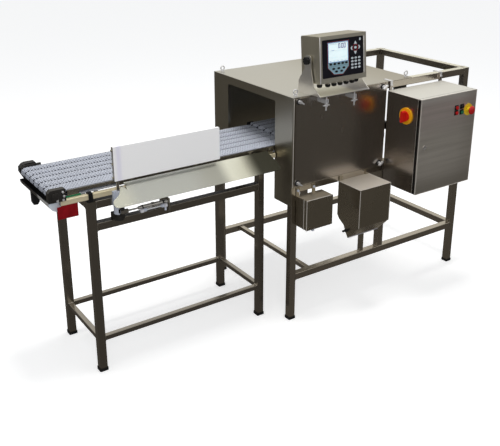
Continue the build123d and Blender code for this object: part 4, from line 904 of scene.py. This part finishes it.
K = Shape().mat("soft")
soft = [(60.2, 97.0), (194.4, 97.0), (194.4, 73.0), (156.4, 37.4), (98.8, 39.8), (60.2, 76.0)]
plate(K, soft, 1.2, 1.45)
K.mat("softline")
for a, b in (((64, 80.5), (100, 79.0)), ((100, 79.0), (150, 82.5)), ((150, 82.5), (191, 80.0))):
    plate(K, [(a[0], a[1] - 0.7), (b[0], b[1] - 0.7), (b[0], b[1] + 0.7), (a[0], a[1] + 0.7)], 1.45, 1.6)
K.mat("keydark")
softkeys = [(77.4, 91), (103.3, 91), (129.7, 91), (154.8, 91), (178.9, 91), (95.6, 67.5), (128.8, 67.5), (162.5, 67.5), (113.8, 52.5), (147, 52.5)]
for u, v in softkeys:
    plate(K, circle(u, v, 9.6, 5.6, 24), 1.45, 2.0)
K.mat("key")
up = [(-9.5, -6.5), (9.5, -6.5), (7.0, -1.5), (1.4, 8.5), (-1.4, 8.5), (-7.0, -1.5)]
plate(K, [(239.9 + a, 183.5 + b) for a, b in up], 1.2, 1.9)
plate(K, [(239.9 - a, 134.8 - b) for a, b in up], 1.2, 1.9)
side = [(5.6, -9.0), (0.6, -9.6), (-4.6, -5.5), (-6.6, 0.0), (-4.6, 5.5), (0.6, 9.6), (5.6, 9.0), (2.6, 4.5), (1.6, 0.0), (2.6, -4.5)]
plate(K, [(215.6 + a, 158.0 + b) for a, b in side], 1.2, 1.9)
plate(K, [(264.6 - a, 160.0 - b) for a, b in side], 1.2, 1.9)
plate(K, circle(239.9, 159.5, 8.4, 6.0), 1.2, 1.9)
for u in (218.5, 241.5, 265.0):
    for v in (108.0, 91.8, 75.4, 59.2):
        plate(K, circle(u, v, 8.2, 5.2, 24), 1.2, 1.9)
plate(K, rounded(265.8, 274.6, 192.5, 205.5, 2.2), 1.2, 1.7)
K.mat("inkred")
ring = [(58.8, 201.0), (196.0, 201.0), (196.0, 72.2), (157.0, 35.6), (98.2, 38.0), (58.8, 75.2)]
for a, b in zip(ring, ring[1:] + ring[:1]):
    d = Vector((b[0] - a[0], b[1] - a[1])).normalized()
    nrm = Vector((-d.y, d.x)) * 0.5
    e = Vector((d.x, d.y)) * 0.5
    plate(K, [(a[0] + nrm.x - e.x, a[1] + nrm.y - e.y), (b[0] + nrm.x + e.x, b[1] + nrm.y + e.y), (b[0] - nrm.x + e.x, b[1] - nrm.y + e.y), (a[0] - nrm.x - e.x, a[1] - nrm.y - e.y)], 1.2, 1.6)
ring_plate(K, circle(239.9, 159.5, 17.2), circle(239.9, 159.5, 15.2), 1.2, 1.6)
K.mat("softline")
for i, ch in enumerate("123456789"):
    seven(K, ch, (218.5, 241.5, 265.0)[i % 3] - 1.5, (108, 91.8, 75.4)[i // 3] - 3, 6, 1.9, 2.05, 0.7)
seven(K, "0", 240.0, 56.2, 6, 1.9, 2.05, 0.7)
K.make("keypad_keys", "indicator", slot="keypad", xform=tilt)

# folded beads down both sides of the face
# both beads carry a painted highlight along the face's side edges
E = Shape().mat("bead_painted_highlight")
E.box(IX0 + 1.6, IX0 + 6.4, UF - 0.7, UF + 0.4, UZ0 + 2, UZ0 + 230, 0.5, 2)
E.box(IX0 + 287.6, IX0 + 291.6, UF - 0.9, UF + 0.4, UZ0 + 27, UZ0 + 213, 0.4, 2)
E.make("indicator_face_beads", "indicator", slot="stainless", xform=tilt)

# gland domes under the case
G = Shape().mat("black")
for k in range(7):
    gx, gy = IX0 + 32 + 40 * k, -134.0 if k in (0, 6) else -150.0
    G.lathe("z", (gx, gy), [(UZ0 - 25.5, 2.6), (UZ0 - 25.2, 6.0), (UZ0 - 23.6, 10.2), (UZ0 - 20.0, 13.2), (UZ0 - 15.0, 14.3), (UZ0 - 9.5, 14.5), (UZ0 - 8.6, 13.4)], 24)
G.make("indicator_gland_domes", "indicator", slot="black_plastic", xform=tilt)

# ====================== reject cylinder, outside look ====================
A = Shape().mat("bolt")
AY, AZ_ = -47.65, 832.0
A.lathe("x", (0, AY, AZ_), [(222, 5.0), (222.4, 7.6), (224, 8.4), (236, 8.4), (237.5, 9.2), (239, 9.4), (355, 9.4), (356.5, 9.2), (358, 12.6), (371, 12.6), (371.6, 11.4), (371.8, 5.0)], 32)
A.mat("blackgloss")
for x0, x1 in ((240.0, 246.0), (347.0, 354.0)):
    A.lathe("x", (0, AY, AZ_), [(x0, 9.0), (x0 + 0.4, 10.6), (x1 - 0.4, 10.6), (x1, 9.0)], 28)
A.mat("bolt")
for a in range(4):
    t = pi / 4 + a * pi / 2
    A.lathe("x", (0, AY + 9.6 * cos(t), AZ_ + 9.6 * sin(t)), [(239.2, 0.8), (357.0, 0.8)], 8)
# elbows and the line between the ends, on the operator's side
A.mat("white")
for x in (230.0, 352.0):
    A.box(x - 7, x + 9, AY - 28, AY - 14.2, AZ_ - 16, AZ_ + 1, 2.2, 2)
    A.lathe("y", (x + 1, 0, AZ_ - 7), [(AY - 33, 4.0), (AY - 32.4, 6.4), (AY - 28.5, 7.2), (AY - 27.6, 6.6)], 18)
A.mat("bluewhite")
A.lathe("x", (0, AY - 21, AZ_ - 8), [(239, 7.2), (240, 8.2), (252, 8.2), (253, 6.0), (257, 5.4)], 18)
A.lathe("x", (0, AY - 21, AZ_ - 8), [(328, 5.4), (333, 6.0), (334, 8.2), (344, 8.2), (345, 7.2)], 18)
A.lathe("z", (353, AY - 21), [(AZ_ - 34, 4.0), (AZ_ - 33, 5.0), (AZ_ - 24, 5.0), (AZ_ - 16.2, 6.4)], 16)
A.mat("inklight")
A.lathe("x", (0, AY - 21, AZ_ - 8), [(254, 3.0), (331, 3.0)], 14)
A.mat("sheet_x")
A.box(372.0, 380.0, -65.6, 30.0, 786.0, 850.0, 1.2, 2)
A.box(352.0, 402.0, -2.0, 34.0, 782.2, 787.0, 1.0, 2)
A.mat("bolt")
A.lathe("x", (0, AY, AZ_), [(380, 4.0), (380.4, 7.6), (384.6, 8.2), (385, 7.6), (385.2, 3.0)], 6)
A.make("air_cylinder_body", "root", replaces=("air_cylinder",), slot="black_plastic")

# =================== small parts seen on the near side ===================
N = Shape().mat("darkblock")
# ringed cap of the near bearing
N.lathe("y", (-148, 0, 957), [(-15.2, 4.0), (-15.2, 6.0), (-13.9, 6.6), (-13.9, 9.6), (-15.0, 10.2), (-15.0, 12.4), (-13.6, 13.2), (-13.4, 17.6), (-12.2, 18.2), (-8.2, 18.4)], 32)
N.mat("nickel")
for x, z in ((-114, 974), (-110, 954), (-114, 937), (-141, 938)):
    N.lathe("y", (x, 0, z), [(-15.4, 3.0), (-15.2, 4.4), (-13.8, 5.2), (-12.8, 5.4)], 16)
N.make("near_bearing_cap", "root", slot="black_plastic")

# black washers behind the panel latches
N = Shape().mat("black")
for x, z in ((1079, 1230), (1646, 1230), (1079, 799), (1646, 799)):
    N.lathe("y", (x, 0, z), [(-141.8, 9.6), (-141.6, 13.4), (-140.6, 15.2), (-139.1, 15.8)], 28)
N.make("latch_washers", "root", slot="black_plastic")

# bright beads along the folded edges of the sheet metal as a painted highlight, and dark strips of painted shadow in
# the seams beside them
def edge(sh, a, b, r=1.1):
    """a thin rounded fold line from a to b"""
    a, b = Vector(a), Vector(b)
    d = (b - a).normalized()
    e = d.cross(Vector((0, 0, 1)) if abs(d.z) < 0.9 else Vector((1, 0, 0))).normalized()
    f = d.cross(e)
    ring = [(e * cos(2 * pi * k / 8) + f * sin(2 * pi * k / 8)) * r for k in range(8)]
    pts = [tuple(a + q) for q in ring]
    sh.poly(pts, tuple(b - a))


N = Shape().mat("edge")
for a, b in (((1365, -309, 748), (1580, -309, 748)), ((1365, -309, 748), (1365, -309, 533)), ((1580, -309, 748), (1580, -309, 533)),
             ((1365, -133, 748), (1365, -309, 748)), ((1580, -133, 748), (1580, -309, 748))):
    edge(N, a, b, 1.9)
for a, b in (((1076, -228, 561), (1076, -228, 728)), ((1076, -228, 728), (1248, -228, 728)), ((1076, -203, 728), (1076, -203, 561))):
    edge(N, a, b, 1.8)
N.mat("seam")
N.box(1075.2, 1077.0, -202.0, -199.6, 562, 727, 0.3, 1)
N.make("box_folds", "root", slot="stainless")

# painted highlight beads on the cabinet folds, and painted shadow in the seam
N = Shape().mat("edge")
for a, b in (((1049.5, -139.0, 780), (1049.5, -139.0, 1249)), ((1683, -368, 1203), (1683, -145, 1203)), ((1682.8, -366.5, 680), (1682.8, -366.5, 1203))):
    edge(N, a, b, 1.8)
N.mat("seam")
N.box(1681.0, 1682.6, -370.6, -367.0, 681, 1201, 0.3, 1)
N.make("cabinet_folds", "root", slot="stainless")

# painted highlight beads round the door, and painted shadow in the seam
N = Shape().mat("edge")
X0, X1, Z0, Z1, YD = 1682.8, 2105.2, 678.8, 1203.2, -389.2
for a, b in (((X0, YD, Z0), (X0, YD, Z1)), ((X0, YD, Z1), (X1, YD, Z1)), ((X1, YD, Z1), (X1, YD, Z0)), ((X0, YD, Z0), (X1, YD, Z0))):
    edge(N, a, b, 1.9)
N.mat("seam")
N.box(1681.3, 1682.6, -384.0, -371.0, 681, 1201, 0.3, 1)
N.make("door_folds", "door", slot="stainless")

# square black frames behind the buttons
N = Shape().mat("black")
for x, z in ((1953, 1123), (1953, 1095), (1995, 1124), (1995, 1093)):
    N.box(x - 14.5, x + 14.5, -391.6, -389.6, z - 13.6, z + 13.6, 0.8, 2)
N.make("button_frames", "door", slot="black_plastic")

# ribbed lip of the hood
N = Shape().mat("ribs")
for k in range(30):
    x = 1368.5 + 7.1 * k
    N.poly([(x, -233.5, 453.5), (x, -224.6, 444.4), (x, -222.0, 447.0), (x, -231.0, 456.0)], (4.2, 0, 0))
N.make("hood_lip_ribs", "root", slot="stainless")

# ================================ stage ==================================
floor_me = bpy.data.meshes.new("floor")
floor_me.from_pydata([(-40, -40, 0), (40, -40, 0), (40, 40, 0), (-40, 40, 0)], [], [(0, 1, 2, 3)])
floor = bpy.data.objects.new("floor", floor_me)
bpy.context.scene.collection.objects.link(floor)


def floor_material():
    """plain pale floor: one pale value that catches real shadows"""
    m = bpy.data.materials.new("floor_paper")
    m.use_nodes = True
    t = m.node_tree
    t.nodes.clear()
    new = t.nodes.new
    link = t.links.new
    out = new("ShaderNodeOutputMaterial")
    lp = new("ShaderNodeLightPath")
    dif = new("ShaderNodeBsdfDiffuse")
    dif.inputs["Color"].default_value = (0.80, 0.80, 0.80, 1)
    em = new("ShaderNodeEmission")
    em.inputs["Color"].default_value = (1, 1, 1, 1)
    em.inputs["Strength"].default_value = FLOOR_LIFT
    pale = new("ShaderNodeAddShader")
    link(dif.outputs[0], pale.inputs[0])
    link(em.outputs[0], pale.inputs[1])
    # one even value for the light that the floor gives back to matt surfaces
    bounce = new("ShaderNodeEmission")
    bounce.inputs["Color"].default_value = (1, 1, 1, 1)
    bounce.inputs["Strength"].default_value = FLOOR_GLOW
    base = new("ShaderNodeMixShader")
    link(lp.outputs["Is Camera Ray"], base.inputs[0])
    link(bounce.outputs[0], base.inputs[1])
    link(pale.outputs[0], base.inputs[2])
    # and one even value for what polished steel mirrors of it
    em2 = new("ShaderNodeEmission")
    em2.inputs["Color"].default_value = (*FLOOR_DARK, 1)
    mix = new("ShaderNodeMixShader")
    link(lp.outputs["Is Glossy Ray"], mix.inputs[0])
    link(base.outputs[0], mix.inputs[1])
    link(em2.outputs[0], mix.inputs[2])
    link(mix.outputs[0], out.inputs["Surface"])
    return m


FLOOR_GLOW = 0.42
FLOOR_LIFT = 0.55
FLOOR_DARK = (0.085, 0.077, 0.065)
floor_me.materials.append(floor_material())

# world: plain white to the camera and to matt surfaces; polished steel sees a
# dark room with a bright ceiling
world = bpy.data.worlds.new("studio")
bpy.context.scene.world = world
world.use_nodes = True
wt = world.node_tree
wt.nodes.clear()
wo = wt.nodes.new("ShaderNodeOutputWorld")
wl = wt.nodes.new("ShaderNodeLightPath")
wc = wt.nodes.new("ShaderNodeTexCoord")
ws = wt.nodes.new("ShaderNodeSeparateXYZ")
wt.links.new(wc.outputs["Generated"], ws.inputs[0])
ramp = wt.nodes.new("ShaderNodeValToRGB")
cr = ramp.color_ramp
cr.elements[0].position = 0.0
cr.elements[0].color = (0.030, 0.026, 0.020, 1)
cr.elements[1].position = 1.0
cr.elements[1].color = (0.95, 0.94, 0.90, 1)
for pos, col in ((0.50, (0.045, 0.040, 0.032)), (0.535, (0.16, 0.15, 0.125)), (0.57, (0.55, 0.53, 0.47)), (0.66, (0.70, 0.68, 0.61)), (0.80, (0.80, 0.78, 0.72))):
    e = cr.elements.new(pos)
    e.color = (*col, 1)
zr = wt.nodes.new("ShaderNodeMapRange")
zr.inputs["From Min"].default_value = -1.0
zr.inputs["From Max"].default_value = 1.0
wt.links.new(ws.outputs["Z"], zr.inputs["Value"])
wt.links.new(zr.outputs[0], ramp.inputs[0])
bg_white = wt.nodes.new("ShaderNodeBackground")
bg_white.inputs["Color"].default_value = (0.96, 0.98, 1.0, 1)
bg_white.inputs["Strength"].default_value = 0.47
bg_room = wt.nodes.new("ShaderNodeBackground")
wt.links.new(ramp.outputs[0], bg_room.inputs["Color"])
bg_cam = wt.nodes.new("ShaderNodeBackground")
bg_cam.inputs["Color"].default_value = (1, 1, 1, 1)
wm = wt.nodes.new("ShaderNodeMixShader")
wt.links.new(wl.outputs["Is Glossy Ray"], wm.inputs[0])
wt.links.new(bg_white.outputs[0], wm.inputs[1])
wt.links.new(bg_room.outputs[0], wm.inputs[2])
wm2 = wt.nodes.new("ShaderNodeMixShader")
wt.links.new(wl.outputs["Is Camera Ray"], wm2.inputs[0])
wt.links.new(wm.outputs[0], wm2.inputs[1])
wt.links.new(bg_cam.outputs[0], wm2.inputs[2])
wt.links.new(wm2.outputs[0], wo.inputs["Surface"])


def area(name, loc, target, size, power, color=(1, 1, 1), size_y=None):
    la = bpy.data.lights.new(name, "AREA")
    la.energy = power
    la.color = color
    la.size = size
    if size_y:
        la.shape = "RECTANGLE"
        la.size_y = size_y
    ob = bpy.data.objects.new(name, la)
    ob.location = loc
    ob.rotation_euler = (Vector(target) - Vector(loc)).to_track_quat("-Z", "Y").to_euler()
    ob.visible_glossy = False
    bpy.context.scene.collection.objects.link(ob)
    return ob


area("key_overhead", (0.0, 0.0, 4.6), (0, 0, 0), 1.6, 110, (1.0, 0.99, 0.97))
area("front_fill", (-2.6, -4.2, 3.0), (0, 0, 0.8), 2.4, 45, (1.0, 0.98, 0.96))

cam_data = bpy.data.cameras.new("camera")
cam = bpy.data.objects.new("camera", cam_data)
bpy.context.scene.collection.objects.link(cam)
cam.location = P(-1149.2, -2981.7, 2181.7)
cam.rotation_euler = (pi / 2 - 0.3432, 0, -0.5975)
cam_data.sensor_width = 36.0
cam_data.lens = 54.01
cam_data.shift_x = 0.0
cam_data.shift_y = -0.1145
cam_data.clip_start, cam_data.clip_end = 0.05, 120.0
bpy.context.scene.camera = cam
bpy.context.scene.view_settings.view_transform = "Standard"
bpy.context.scene.view_settings.look = "None"
